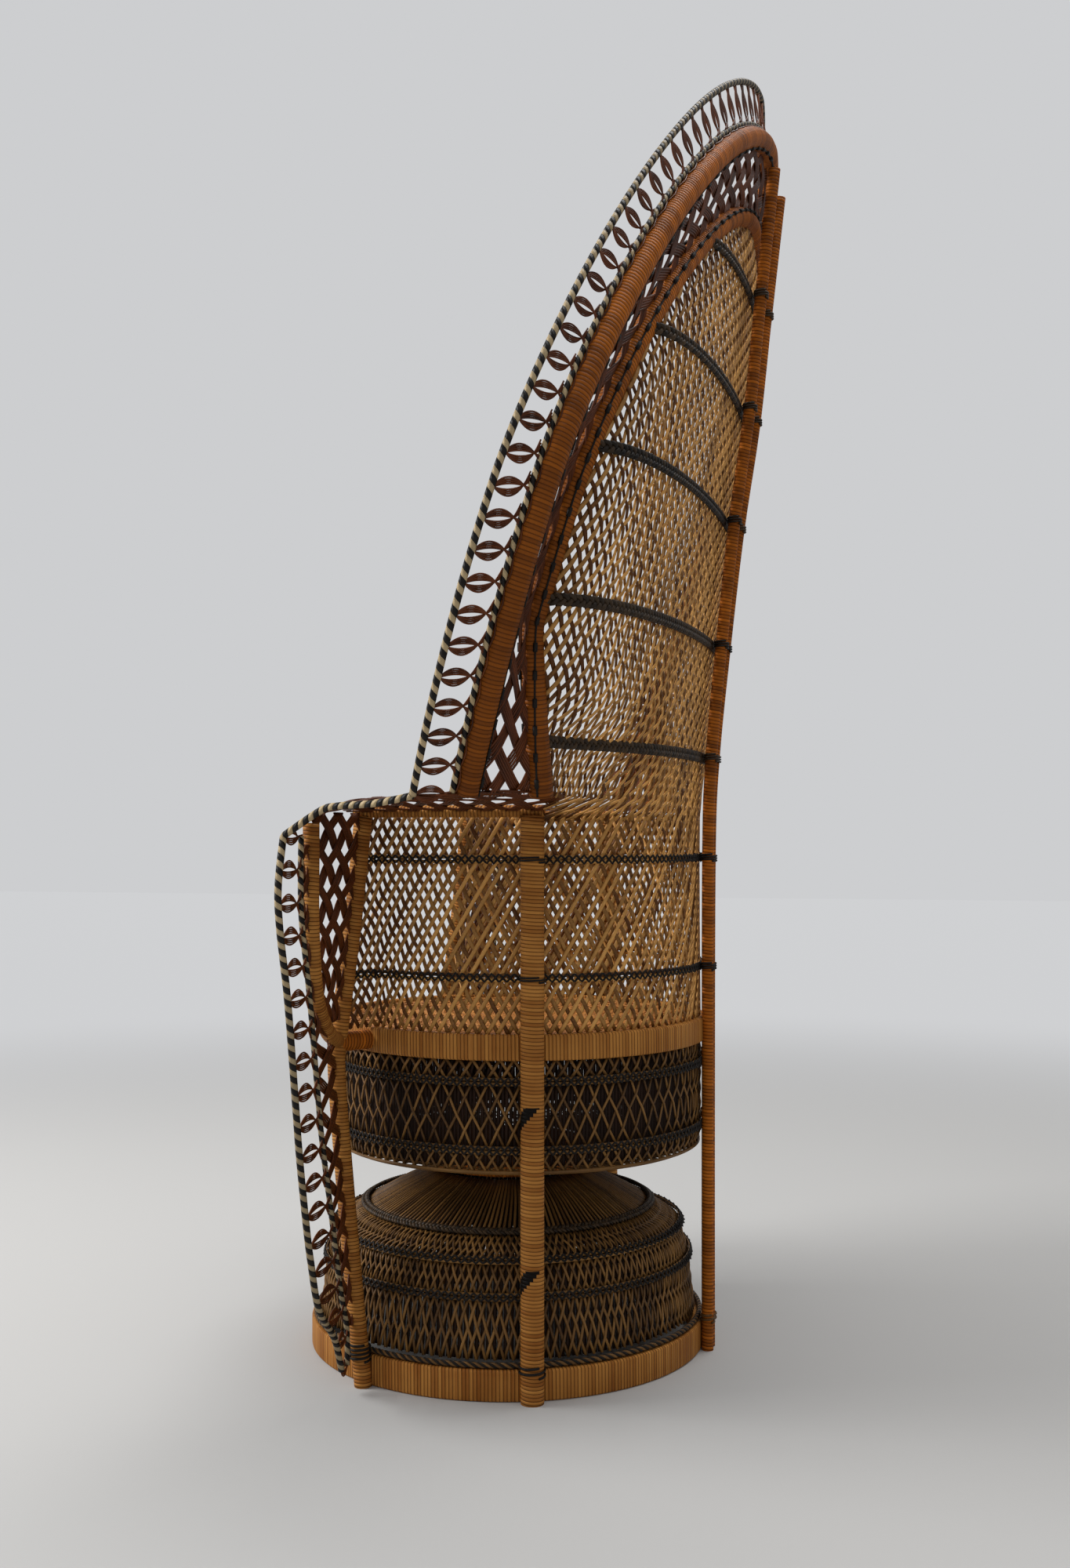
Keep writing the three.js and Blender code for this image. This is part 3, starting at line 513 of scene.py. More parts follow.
def wing_points(side):
    """The rim of a wing and its rod, from the arm down to the foot of the front leg."""
    rim, rod = [], []
    for height, width, lace in zip(WING_HEIGHTS, WING_WIDTHS, WING_LACE_SHARES):
        x = side * lerp(WING_FOOT[1], WING_TOP[1], width)
        z = lerp(WING_FOOT[0], WING_TOP[0], height)
        rim.append(Vector((x, -WING_FORWARD, z)))
        rod.append(Vector((x - side * WING_LACE_WIDTH * lace, -WING_FORWARD, z)))
    return rim, rod


def wing_lines(side):
    """The smooth rod and rim of a wing."""
    rim, rod = wing_points(side)
    return smoothed(rod, CURVE_STEPS), smoothed(rim, CURVE_STEPS)


def wing_tube_line(side):
    """The tube that bends from the arm's front corner down and in to the front leg."""
    foot = at_height(front_leg_line(side), WING_TUBE_FOOT)
    return smoothed([Vector((side * lerp(FRONT_LEG_LATERAL, WING_TUBE_LATERAL, width),
                             lerp(foot.y, -WING_FORWARD, width),
                             lerp(WING_TUBE_FOOT, WING_TOP[0], height)))
                     for height, width in zip(WING_TUBE_HEIGHTS, WING_TUBE_WIDTHS)], CURVE_STEPS)


def arm_rail_point(side, share):
    """A point of the rail between the front leg's top and the side leg's top."""
    return Vector((side * lerp(FRONT_LEG_LATERAL, LEG_LATERAL, share),
                   lerp(-FRONT_LEG_FORWARD - FRONT_LEG_RADIUS, LEG_BACK + LEG_RADIUS, share),
                   ARM_HEIGHT + TOUCHING_GAP + ARM_RAIL_RADIUS))


ARM_RIMS = {side: arm_rim_line(side)[::-1] for side in (LEFT, RIGHT)}


def arm_point(side, lengthwise, outwards):
    """A point of the domed arm between its rail and its rim."""
    rim = ARM_RIMS[side]
    place = lengthwise * (len(rim) - 1)
    i = min(int(place), len(rim) - 2)
    point = arm_rail_point(side, lengthwise).lerp(rim[i].lerp(rim[i + 1], place - i), outwards)
    swell = math.sin(math.pi * outwards)
    return point + Vector((0, ARM_BULGE * swell * lengthwise ** 2, ARM_DOME * swell))


POLE_MIDDLE = pole_line(LEFT)


def back_line(height):
    """How far back the middle of the weave is at a height."""
    by_poles = at_height(POLE_MIDDLE, height).y - POLE_STANDOFF
    if height < HOOD_CLOSING:
        return by_poles
    share = (height - HOOD_CLOSING) / (INNER_ARCH["crown"] - HOOD_CLOSING)
    return lerp(by_poles, arch_back(INNER_ARCH, INNER_ARCH["crown"]), share)


def wall_plan(height):
    """Half of the wall at a height, from the middle of the back round to the left front leg."""
    share = (height - SEAT_HEIGHT) / (WALL_PLAN_TOP - SEAT_HEIGHT)
    leg = at_height(front_leg_line(LEFT), height)
    half = []
    for j in range(PLAN_STEPS + 1):
        reach = 1 - j / PLAN_STEPS
        turn = lerp(WALL_FRONT_ANGLE, math.pi, reach)
        low = Vector((WALL_RADIUS * math.sin(turn), DRUM_BACK - WALL_RADIUS * math.cos(turn), height))
        if reach < WALL_STRAIGHT:
            forward = lerp(-FRONT_LEG_FORWARD, LEG_BACK, reach / WALL_STRAIGHT)
            high = Vector((WALL_LATERAL, forward, height))
        else:
            bend = math.pi / 2 * (reach - WALL_STRAIGHT) / (1 - WALL_STRAIGHT)
            high = Vector((WALL_LATERAL * math.cos(bend),
                           LEG_BACK + (back_line(height) - LEG_BACK) * math.sin(bend), height))
        half.append(low.lerp(high, share))
    half[-1] = Vector((leg.x, leg.y, height))
    return half


def hood_plan(height):
    """Half of the hood at a height, from the middle of the back round to the inner hoop."""
    if height < INNER_ARCH["foot"]:
        share = (height - WALL_TOP) / (INNER_ARCH["foot"] - WALL_TOP)
        wide = lerp(WALL_LATERAL, INNER_ARCH["foot_half"], share)
        edge = lerp(LEG_BACK, INNER_ARCH["foot_back"], share)
    else:
        wide = arch_half(INNER_ARCH, height)
        edge = arch_back(INNER_ARCH, height)
    deep = back_line(height) - edge
    fan = min(1, (height - WALL_TOP) / (FAN_TOP - WALL_TOP))
    fan = fan * fan * (3 - 2 * fan)
    half = []
    for j in range(PLAN_STEPS + 1):
        turn = math.pi / 2 * j / PLAN_STEPS
        spread = lerp(WALL_LATERAL, wide, fan + (1 - fan) * (j / PLAN_STEPS) ** FAN_POWER)
        half.append(Vector((spread * math.sin(turn), edge + deep * math.cos(turn), height)))
    return half


class Shell:
    """A curved wall given by half a plan at each of a list of heights."""

    def __init__(self, plan, heights):
        self.heights = heights
        self.halves = []
        for height in heights:
            half = plan(height)
            self.halves.append((half, distances(half)))

    def width(self, row):
        """The distance from the middle of the back to the edge, along a row."""
        return self.halves[row][1][-1]

    def point(self, row, distance):
        """The point of a row that distance from the middle of the back, left positive."""
        half, reach = self.halves[row]
        far = min(abs(distance), reach[-1])
        low, high = 0, len(reach) - 1
        while high - low > 1:
            middle = (low + high) // 2
            if reach[middle] > far:
                high = middle
            else:
                low = middle
        span = reach[high] - reach[low]
        point = half[low].lerp(half[high], (far - reach[low]) / span if span else 0)
        return Vector((-point.x if distance < 0 else point.x, point.y, point.z))

    def outward(self, row, distance):
        """The direction that points out of the wall there."""
        step = 4
        along = self.point(row, distance + step) - self.point(row, distance - step)
        if along.length < 1:
            along = self.point(row, distance) - self.point(row, distance - math.copysign(step, distance))
            along *= math.copysign(1, distance)
        above = self.point(min(row + 1, len(self.heights) - 1), distance)
        rise = above - self.point(max(row - 1, 0), distance)
        return rise.cross(along).normalized()


def tangents(path, closed):
    """The direction of a path at each of its points."""
    last = len(path) - 1
    found = []
    for i in range(len(path)):
        ahead = path[(i + 1) % len(path)] if closed else path[min(i + 1, last)]
        behind = path[i - 1] if closed else path[max(i - 1, 0)]
        found.append((ahead - behind).normalized())
    return found


def carried(path, start):
    """A direction square to a path, carried along it without turning round it."""
    found = []
    up = Vector(start)
    for along in tangents(path, False):
        up = (up - along * up.dot(along)).normalized()
        found.append(up.copy())
    return found


def oval(width, thickness, sides):
    """The outline of a strand, across and out."""
    turns = [2 * math.pi * k / sides for k in range(sides)]
    return [(width / 2 * math.cos(turn), -thickness / 2 * math.sin(turn)) for turn in turns]


def sweep(bm, path, outs, outline, closed=False, tone=None):
    """Carries an outline along a path in millimetres and adds it to the mesh in metres. UV has the
    share of a turn and the distance in metres. tone is a list with a number for each point of the path,
    and is drawn at random for the strand where none is given."""
    rows = len(path) if closed else len(path) - 1
    sides = len(outline)
    uv = bm.loops.layers.uv.get("UVMap") or bm.loops.layers.uv.new("UVMap")
    shade = bm.verts.layers.float.get("tone") or bm.verts.layers.float.new("tone")
    made = bmesh.ops.create_grid(bm, x_segments=sides, y_segments=rows, size=1, calc_uvs=True)["verts"]
    alongs = tangents(path, closed)
    tones = tone or [random.random()] * len(path)
    for i in range(rows + 1):
        place = i % len(path)
        along = alongs[place]
        out = (outs[place] - along * outs[place].dot(along)).normalized()
        across = along.cross(out)
        for k in range(sides + 1):
            a, b = outline[k % sides]
            vert = made[i * (sides + 1) + k]
            spot = (path[place] + across * a + out * b) / MM_PER_METRE
            vert.co = (spot.x, spot.y + RING_BACK, spot.z)
            vert[shade] = tones[place]
    length = distances(path + path[:1] if closed else path)[-1] / MM_PER_METRE
    for face in {face for vert in made for face in vert.link_faces}:
        for loop in face.loops:
            loop[uv].uv.y *= length


def settled(bm):
    """Joins the seams of swept strands and closes their ends."""
    bmesh.ops.remove_doubles(bm, verts=bm.verts, dist=1e-7)
    bmesh.ops.holes_fill(bm, edges=[edge for edge in bm.edges if edge.is_boundary], sides=0)
    return bm


def place_piece(node, slot, *parts):
    """Makes the finished piece that stands for a CAD node. Each part is a mesh with the name of its
    finish."""
    name = f"cane_{node}"
    whole = settled(parts[0][0])
    for index, (bm, finish) in enumerate(parts[1:], 1):
        count = len(whole.faces)
        passing = bpy.data.meshes.new(name)
        settled(bm).to_mesh(passing)
        bm.free()
        whole.from_mesh(passing)
        bpy.data.meshes.remove(passing)
        whole.faces.ensure_lookup_table()
        for face in whole.faces[count:]:
            face.material_index = index
    mesh = bpy.data.meshes.new(name)
    whole.to_mesh(mesh)
    whole.free()
    mesh.shade_smooth()
    for bm, finish in parts:
        mesh.materials.append(finish_named(finish))
    made = bpy.data.objects.new(name, mesh)
    bpy.context.scene.collection.objects.link(made)
    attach(made, "root")
    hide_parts(node)


def pole(bm, line, radius, sides=14, step=5):
    """A round pole along a line. Its seam starts on the side that faces back."""
    path = spaced(line, step)
    sweep(bm, path, carried(path, (0.31, 0.93, 0.2)), oval(2 * radius, 2 * radius, sides))


def place_pole(node, slot, finish, line, radius, sides=14, step=5):
    """Makes a piece that is one round pole."""
    bm = bmesh.new()
    pole(bm, line, radius, sides, step)
    place_piece(node, slot, (bm, finish))


def ring_point(radius, height, back, turn):
    """A point of a level circle round the pedestal's axis."""
    return Vector((radius * math.cos(turn), back + radius * math.sin(turn), height))


def ring_line(radius, height, back, count):
    """A level circle round the pedestal's axis."""
    return [ring_point(radius, height, back, 2 * math.pi * k / count) for k in range(count)]


def spokes_of(circle, back):
    """The direction away from the pedestal's axis at each point of a circle."""
    return [Vector((p.x, p.y - back, 0)).normalized() for p in circle]


def wound_ring(bm, ring):
    """A flat ring with rounded edges, wound in turns that stand upright."""
    edge = 3
    wide = ring["wall"] / 2
    tall = (ring["top"] - ring["bottom"]) / 2
    outline = []
    for outer, upper, start in ((1, 1, 90), (1, -1, 0), (-1, -1, -90), (-1, 1, -180)):
        for k in range(4):
            turn = math.radians(start - 30 * k)
            outline.append((upper * (tall - edge) + edge * math.sin(turn),
                            outer * (wide - edge) + edge * math.cos(turn)))
    circle = ring_line(ring["radius"] - wide, (ring["top"] + ring["bottom"]) / 2, ring["back"], 240)
    sweep(bm, circle, spokes_of(circle, ring["back"]), outline, closed=True)


def turns_in(path, closed, pitch):
    """How many turns of a pitch fit on a path."""
    return round(distances(path + path[:1] if closed else path)[-1] / pitch)


def plait(bm, path, outs, pitch, wide, strand, closed=False):
    """Three strands that pass over and under one another along a path."""
    deep = 1.5
    turns = turns_in(path, closed, pitch)
    for k in range(3):
        weave_along(bm, path, outs, closed, strand,
                    lambda share, k=k: (wide * math.sin(2 * math.pi * (turns * share + k / 3)),
                                        deep * math.sin(4 * math.pi * (turns * share + k / 3))))


def weave_along(bm, path, outs, closed, strand, offset):
    """One strand beside a path; offset gives how far across and out it is at a share of the way."""
    count = len(path) if closed else len(path) - 1
    moved = []
    for i, (point, along, out) in enumerate(zip(path, tangents(path, closed), outs)):
        sideways, outwards = offset(i / count)
        moved.append(point + along.cross(out).normalized() * sideways + out * outwards)
    sweep(bm, moved, outs, strand, closed)


def zigzag(share, turns, phase):
    """A zigzag between minus one and one."""
    return 1 - 4 * abs((turns * share + phase) % 1 - 0.5)


def cross_stitch(black, pale, path, outs, pitch, closed, wide=5.0):
    """Two pale strands side by side, held by black stitches that cross over them."""
    turns = turns_in(path, closed, pitch)
    apart = (STITCH_CORE[0] + 1) / 2
    for offset in (-apart, apart):
        weave_along(pale, path, outs, closed, oval(*STITCH_CORE), lambda share, offset=offset: (offset, -0.6))
    for phase in (0, 0.5):
        weave_along(black, path, outs, closed, oval(*STITCH_CORD), lambda share, phase=phase: (
            wide * zigzag(share, turns, phase),
            1.2 + 0.5 * math.cos(4 * math.pi * (turns * share + phase / 2))))


def runs(found):
    """The unbroken runs of a list in which missing points are None."""
    run = []
    for item in found + [None]:
        if item is None:
            if len(run) > 1:
                yield run
            run = []
        else:
            run.append(item)


def shell_weave(bm, shell, pitch, strand, rise, step):
    """Two families of strands that lean opposite ways across a shell. The paler family passes over the
    other at two crossings of three, and the other family is painted darker as painted shade. With a step
    of 0 every third pale strand stays under all the way, and with a step of 1 the place where it dips
    moves on by one strand with each row. Strands are also painted darker near the edges as painted shade."""
    beyond = 2
    rows = range(len(shell.heights))
    reach = max(shell.width(row) for row in rows) + pitch * len(shell.heights) / 2
    count = int(reach / pitch) + 1
    for lean in (1, -1):
        for i in range(-count, count + 1):
            found = []
            # each strand's random tone, with the family that is not the pale one shifted darker as painted
            # shade
            tone_and_shade = 0.45 * random.random() + (0 if lean == LIT_LEAN else 0.5)
            for row in rows:
                distance = pitch * (i + lean * row / 2)
                inside = shell.width(row) - abs(distance)
                if inside < -beyond:
                    found.append(None)
                    continue
                out = shell.outward(row, distance)
                if lean == LIT_LEAN:
                    lift = -rise if (i + step * row) % 3 == 0 else rise
                else:
                    lift = rise if (i + (step + 1) * row) % 3 == 0 else -rise
                # strands are painted darker towards the edges of the shell, as painted shade
                edge_shade = max(0, 1 - inside / SHADED_EDGE)
                found.append((shell.point(row, distance) + out * lift, out, tone_and_shade + 0.5 * edge_shade))
            for run in runs(found):
                path, outs, tones = (list(column) for column in zip(*run))
                sweep(bm, path, outs, strand, tone=tones)


def crossings(bm, spot, cells, strand, rise, shares=BUNDLE_SHARES):
    """Bundles of strands that lean both ways over a panel of cells, clear of the cells' middles.
    spot gives the point at a column and a row."""
    columns, rows = cells
    beyond = 0.02
    probe = 0.05
    for lean in (1, -1):
        for m in range(-rows - 1, columns + rows + 1):
            for shift in shares:
                found = []
                for k in range(rows * CELL_CUTS + 1):
                    row = k / CELL_CUTS
                    column = lean * row + m + 0.5 + shift
                    if not -beyond <= column <= columns + beyond:
                        found.append(None)
                        continue
                    column = min(max(column, 0), columns)
                    along = spot(min(column + probe, columns), row) - spot(max(column - probe, 0), row)
                    up = spot(column, min(row + probe, rows)) - spot(column, max(row - probe, 0))
                    out = along.cross(up).normalized()
                    lift = rise * lean * math.cos(2 * math.pi * row)
                    found.append((spot(column, row) + out * lift, out))
                for run in runs(found):
                    sweep(bm, [p for p, out in run], [out for p, out in run], strand)


def ring_lattice(bm, weave, back, families=(1, -1)):
    """Strands that lean across a turned wall, as a row of the pedestal's weaves says. With one family
    they lie side by side and cross none."""
    line, rows, count, lean_share, section, rise = weave
    cut = line_rows(line, rows)
    for lean in families:
        for i in range(count):
            path, outs = [], []
            for k, (radius, height) in enumerate(cut):
                turn = 2 * math.pi * (i + lean * lean_share * k) / count
                before = cut[max(k - 1, 0)]
                after = cut[min(k + 1, rows)]
                run = Vector((after[0] - before[0], after[1] - before[1])).normalized()
                out = Vector((run.y * math.cos(turn), run.y * math.sin(turn), -run.x))
                lift = rise * lean * (1 if k % 2 else -1)
                path.append(ring_point(radius, height, back, turn) + out * lift)
                outs.append(out)
            sweep(bm, path, outs, oval(*section))


def line_rows(line, count):
    """A pedestal line cut into that many even rows."""
    points = spaced([Vector((radius, 0, height)) for radius, height in line], 1)
    picked = [points[round(k * (len(points) - 1) / count)] for k in range(count + 1)]
    return [(point.x, point.z) for point in picked]


def eye_offset(share, wide, flare):
    """How far a strand of an eye is from its middle line. It crosses the line near both ends, spreads
    over the rod at one end and is tied to the rim at the other."""
    if share < EYE_START_SHARE:
        return -flare * ((EYE_START_SHARE - share) / EYE_START_SHARE) ** 1.3
    if share > EYE_END_SHARE:
        return -EYE_TIE * flare * (share - EYE_END_SHARE) / (1 - EYE_END_SHARE)
    way = (share - EYE_START_SHARE) / (EYE_END_SHARE - EYE_START_SHARE)
    return wide * math.sin(math.pi * way) ** 0.75


def eyes(bm, near, far, strand):
    """Loops that lie across from a rod to a rim. Each is four pairs of strands that bow apart and cross
    near both ends. The first and the last don't spread over the rod."""
    alongs = tangents(near, False)
    for i, (low, high) in enumerate(zip(near, far)):
        reach = high - low
        across = reach.normalized()
        along = (alongs[i] - across * alongs[i].dot(across)).normalized()
        out = along.cross(across).normalized()
        if out.dot(BACKWARDS) < 0:
            out = -out
        room = min(1.0, (near[i] - near[i - 1]).length / EYE_SPACE) if i else 1.0
        for side in (1, -1):
            for wide in EYE_WIDTHS:
                flare = EYE_FLARE * wide if 0 < i < len(near) - 1 else 1
                path = []
                for k in range(EYE_STEPS + 1):
                    share = k / EYE_STEPS
                    offset = side * room * eye_offset(share, wide, flare)
                    lift = EYE_LIFT * side * math.cos(math.pi * share)
                    path.append(low + reach * share + along * offset + out * lift)
                sweep(bm, path, [out] * len(path), strand)


def scallops(bm, strand):
    """Pointed loops that hang from the rod over both faces of the outer hoop, one to each eye."""
    near, far = paired(OUTER_LINE, RIM_LINE, HOOD_LOOPS)
    least, more = SCALLOP_TURNS
    for i in range(HOOD_LOOPS):
        along = (near[i + 1] - near[i]).normalized()
        for face in (1, -1):
            path, outs = [], []
            for k in range(SCALLOP_STEPS + 1):
                share = k / SCALLOP_STEPS
                centre = near[i].lerp(near[i + 1], share)
                outer = (far[i].lerp(far[i + 1], share) - centre).normalized()
                out = along.cross(outer).normalized() * face
                turn = math.radians(least + more * (1 - abs(2 * share - 1)) ** 0.75)
                spoke = outer * math.cos(turn) + out * math.sin(turn)
                path.append(centre + spoke * (OUTER_HOOP_RADIUS + 0.9))
                outs.append(spoke)
            sweep(bm, path, outs, strand)


def stitched_line(bm, hoop, towards, radius, face):
    """A black cord that runs along one face of a hoop, with a thicker stitch at even places."""
    spokes = []
    for here, there, along in zip(hoop, towards, tangents(hoop, False)):
        inner = (there - here).normalized()
        out = along.cross(inner).normalized()
        if out.dot(BACKWARDS) * face < 0:
            out = -out
        spokes.append((inner * 0.75 + out * 0.66).normalized())
    line = [p + spoke * (radius + 0.6) for p, spoke in zip(hoop, spokes)]
    sweep(bm, line, spokes, oval(*HOOP_CORD))
    for i in range(2, len(hoop) - 3, 6):
        dash = [hoop[i + k] + spokes[i + k] * (radius + 1.2) for k in range(3)]
        sweep(bm, dash, spokes[i:i + 3], oval(*HOOP_DASH))


def binding(bm, centre, radius, section, turns, gap):
    """A few turns of cord bound round an upright pole, with their middles a gap apart."""
    start = UP.orthogonal().normalized()
    other = UP.cross(start)
    path, outs = [], []
    steps = 16
    for k in range(turns * steps + 1):
        turn = 2 * math.pi * k / steps
        out = start * math.cos(turn) + other * math.sin(turn)
        path.append(centre + out * radius + UP * gap * (k / steps - turns / 2))
        outs.append(out)
    sweep(bm, path, outs, oval(*section))


# The kinds of node that are used again and again, and their settings
MATH = "ShaderNodeMath"
MIX = "ShaderNodeMix"
NOISE = "ShaderNodeTexNoise"
SPLIT = "ShaderNodeSeparateXYZ"
RANGE = "ShaderNodeMapRange"
MULTIPLY = {"operation": "MULTIPLY"}
MULTIPLY_ADD = {"operation": "MULTIPLY_ADD"}
SUBTRACT = {"operation": "SUBTRACT"}
BELOW = {"operation": "LESS_THAN"}
WHOLE_PART = {"operation": "FLOOR"}
FRACTION = {"operation": "FRACT"}
SINE = {"operation": "SINE"}
COLOURS = {"data_type": "RGBA"}
SMOOTH = {"interpolation_type": "SMOOTHSTEP"}


def add_node(tree, kind, settings=None, inputs=None, output=0):
    """Adds a node with its settings, fills its inputs with values or links, and gives an output."""
    node = tree.nodes.new(kind)
    for name, value in (settings or {}).items():
        setattr(node, name, value)
    for name, value in (inputs or {}).items():
        if isinstance(value, bpy.types.NodeSocket):
            tree.links.new(value, node.inputs[name])
        else:
            node.inputs[name].default_value = value
    return node.outputs[output]


def new_finish(name):
    """An empty material with its tree, its surface node and the place of a point on the chair."""
    finish = bpy.data.materials.new(name)
    finish.use_nodes = True
    tree = finish.node_tree
    return finish, tree, tree.nodes["Principled BSDF"], add_node(tree, "ShaderNodeTexCoord", output="Object")


def winding(tree, pitch):
    """A number that grows by one with each turn of a winding, and the place round the pole."""
    uv = add_node(tree, "ShaderNodeUVMap", {"uv_map": "UVMap"})
    round_share = add_node(tree, SPLIT, None, {0: uv}, "X")
    along = add_node(tree, SPLIT, None, {0: uv}, "Y")
    return add_node(tree, MATH, MULTIPLY_ADD, {0: along, 1: 1 / pitch, 2: round_share}), round_share


def finished(tree, surface, colour, relief, looks):
    """Gives a surface its colour, its relief and its looks: roughness, IOR, how much it reflects, and
    the strength and depth in metres of the relief."""
    roughness, ior, specular, strength, depth = looks
    tree.links.new(colour, surface.inputs["Base Color"])
    surface.inputs["Roughness"].default_value = roughness
    surface.inputs["IOR"].default_value = ior
    surface.inputs["Specular IOR Level"].default_value = specular
    bump = add_node(tree, "ShaderNodeBump", None, {"Strength": strength, "Distance": depth, "Height": relief})
    tree.links.new(bump, surface.inputs["Normal"])


def darker(colour, share):
    """A share of a colour."""
    return (*(channel * share for channel in colour[:3]), 1)


def strand_finish(name, light, dark, roughness=0.48, spread=0.55):
    """Split cane, scraped and thinly lacquered: each strand has its own tone, worn in patches, with
    fine fibres along it and a soft sheen."""
    finish, tree, surface, place = new_finish(name)
    tone = add_node(tree, "ShaderNodeAttribute", {"attribute_name": "tone"}, None, "Fac")
    # patches of wear about 60 mm across, and fibres drawn 3 mm apart so that they still show
    patches = add_node(tree, NOISE, None, {"Vector": place, "Scale": 1 / 0.06, "Detail": 3}, "Fac")
    fibres = add_node(tree, NOISE, None, {"Vector": place, "Scale": 1 / 0.003, "Detail": 1}, "Fac")
    # how dark a point is: by its strand's tone, which in the back's weave also carries painted shade, its
    # patch and its fibre
    share = add_node(tree, MATH, MULTIPLY_ADD, {0: patches, 1: 0.8, 2: -0.35})
    share = add_node(tree, MATH, MULTIPLY_ADD, {0: tone, 1: spread, 2: share})
    share = add_node(tree, MATH, MULTIPLY_ADD, {0: fibres, 1: 0.3, 2: share})
    share = add_node(tree, "ShaderNodeClamp", None, {"Value": share})
    colour = add_node(tree, MIX, COLOURS, {0: share, 6: light, 7: dark}, 2)
    finished(tree, surface, colour, fibres, (roughness, 1.48, 0.22, 0.4, 0.0006))
    return finish


def wrapped_finish(name, light, dark, pitch, patch=None, shaded_below=False):
    """Poles wound closely with peeled cane: each turn has its own tone, with painted shade in the groove
    between turns and a satin lacquer over them. patch is the colour of stepped patches on a leg. With
    shaded_below the cane is painted darker lower down, as painted shade."""
    finish, tree, surface, place = new_finish(name)
    height = add_node(tree, SPLIT, None, {0: place}, "Z")
    turn, round_share = winding(tree, pitch)
    whole = add_node(tree, MATH, WHOLE_PART, {0: turn})
    tone = add_node(tree, "ShaderNodeTexWhiteNoise", {"noise_dimensions": "1D"}, {"W": whole}, "Value")
    # patches of wear about 80 mm across
    wear = add_node(tree, NOISE, None, {"Vector": place, "Scale": 1 / 0.08, "Detail": 4}, "Fac")
    # how dark a point is: by its turn's tone and its patch
    share = add_node(tree, MATH, MULTIPLY_ADD, {0: wear, 1: 1.2, 2: -0.5})
    share = add_node(tree, MATH, MULTIPLY_ADD, {0: tone, 1: 0.6, 2: share})
    share = add_node(tree, "ShaderNodeClamp", None, {"Value": share})
    colour = add_node(tree, MIX, COLOURS, {0: share, 6: light, 7: dark}, 2)
    # each turn is a half round, and where two of them meet the groove is darkened as painted shade
    arc = add_node(tree, MATH, FRACTION, {0: turn})
    arc = add_node(tree, MATH, MULTIPLY, {0: arc, 1: math.pi})
    ridge = add_node(tree, MATH, SINE, {0: arc})
    groove_shade = add_node(tree, MATH, BELOW, {0: ridge, 1: 0.34})
    groove_shade = add_node(tree, MATH, MULTIPLY, {0: groove_shade, 1: 0.7})
    colour = add_node(tree, MIX, COLOURS, {0: groove_shade, 6: colour, 7: darker(dark, 0.25)}, 2)
    # painted shade: the cane grows darker lower down
    if shaded_below:
        low_shade = add_node(tree, RANGE, SMOOTH, {
            "Value": height, "From Min": HOOP_SHADE_HEIGHTS[0], "From Max": HOOP_SHADE_HEIGHTS[1], "To Max": 0.55})
        colour = add_node(tree, MIX, COLOURS, {0: low_shade, 6: colour, 7: dark}, 2)
    if patch:
        # a patch is about eight turns high, and each turn shows it a little further round than the last
        for middle in LEG_PATCHES["heights"]:
            above = add_node(tree, MATH, SUBTRACT, {0: height, 1: middle})
            near = add_node(tree, MATH, {"operation": "ABSOLUTE"}, {0: above})
            inside = add_node(tree, MATH, BELOW, {0: near, 1: LEG_PATCHES["half"]})
            risen = add_node(tree, MATH, SUBTRACT, {0: whole, 1: round(middle / pitch)})
            edge = add_node(tree, MATH, MULTIPLY_ADD, {
                0: risen, 1: LEG_PATCHES["step_share"], 2: LEG_PATCHES["start_share"]})
            past = add_node(tree, MATH, SUBTRACT, {0: round_share, 1: edge})
            past = add_node(tree, MATH, FRACTION, {0: past})
            shown = add_node(tree, MATH, BELOW, {0: past, 1: LEG_PATCHES["width_share"]})
            shown = add_node(tree, MATH, MULTIPLY, {0: inside, 1: shown})
            colour = add_node(tree, MIX, COLOURS, {0: shown, 6: colour, 7: patch}, 2)
    finished(tree, surface, colour, ridge, (0.5, 1.5, 0.08, 0.8, 0.0012))
    return finish


def striped_finish(name, black, cream, pitch):
    """A rod wound in turns of dyed black and of cream cane, so that two colours climb round it. The
    cream turns are stained near the crown and below the arms."""
    finish, tree, surface, place = new_finish(name)
    height = add_node(tree, SPLIT, None, {0: place}, "Z")
    turn = winding(tree, pitch)[0]
    # patches of wear about 30 mm across
    wear = add_node(tree, NOISE, None, {"Vector": place, "Scale": 1 / 0.03, "Detail": 3}, "Fac")
    colour = add_node(tree, MIX, COLOURS, {0: wear, 6: darker(cream, 0.55), 7: cream}, 2)
    for heights, most in ((CROWN_STAIN_HEIGHTS, 1.0), (FOOT_STAIN_HEIGHTS, 0.6)):
        share = add_node(tree, RANGE, SMOOTH, {
            "Value": height, "From Min": heights[0], "From Max": heights[1], "To Max": most})
        colour = add_node(tree, MIX, COLOURS, {0: share, 6: colour, 7: darker(cream, 0.33)}, 2)
    # the black turn covers a little under or over half, with an uneven edge to the cream one
    edge = add_node(tree, MATH, MULTIPLY_ADD, {0: wear, 1: 0.16, 2: 0.46})
    part = add_node(tree, MATH, FRACTION, {0: turn})
    dyed = add_node(tree, MATH, BELOW, {0: part, 1: edge})
    colour = add_node(tree, MIX, COLOURS, {0: dyed, 6: colour, 7: black}, 2)
    # the black and the cream strand are each a half round
    arc = add_node(tree, MATH, MULTIPLY, {0: turn, 1: 2.0})
    arc = add_node(tree, MATH, FRACTION, {0: arc})
    arc = add_node(tree, MATH, MULTIPLY, {0: arc, 1: math.pi})
    ridge = add_node(tree, MATH, SINE, {0: arc})
    finished(tree, surface, colour, ridge, (0.5, 1.5, 0.22, 0.9, 0.0014))
    return finish


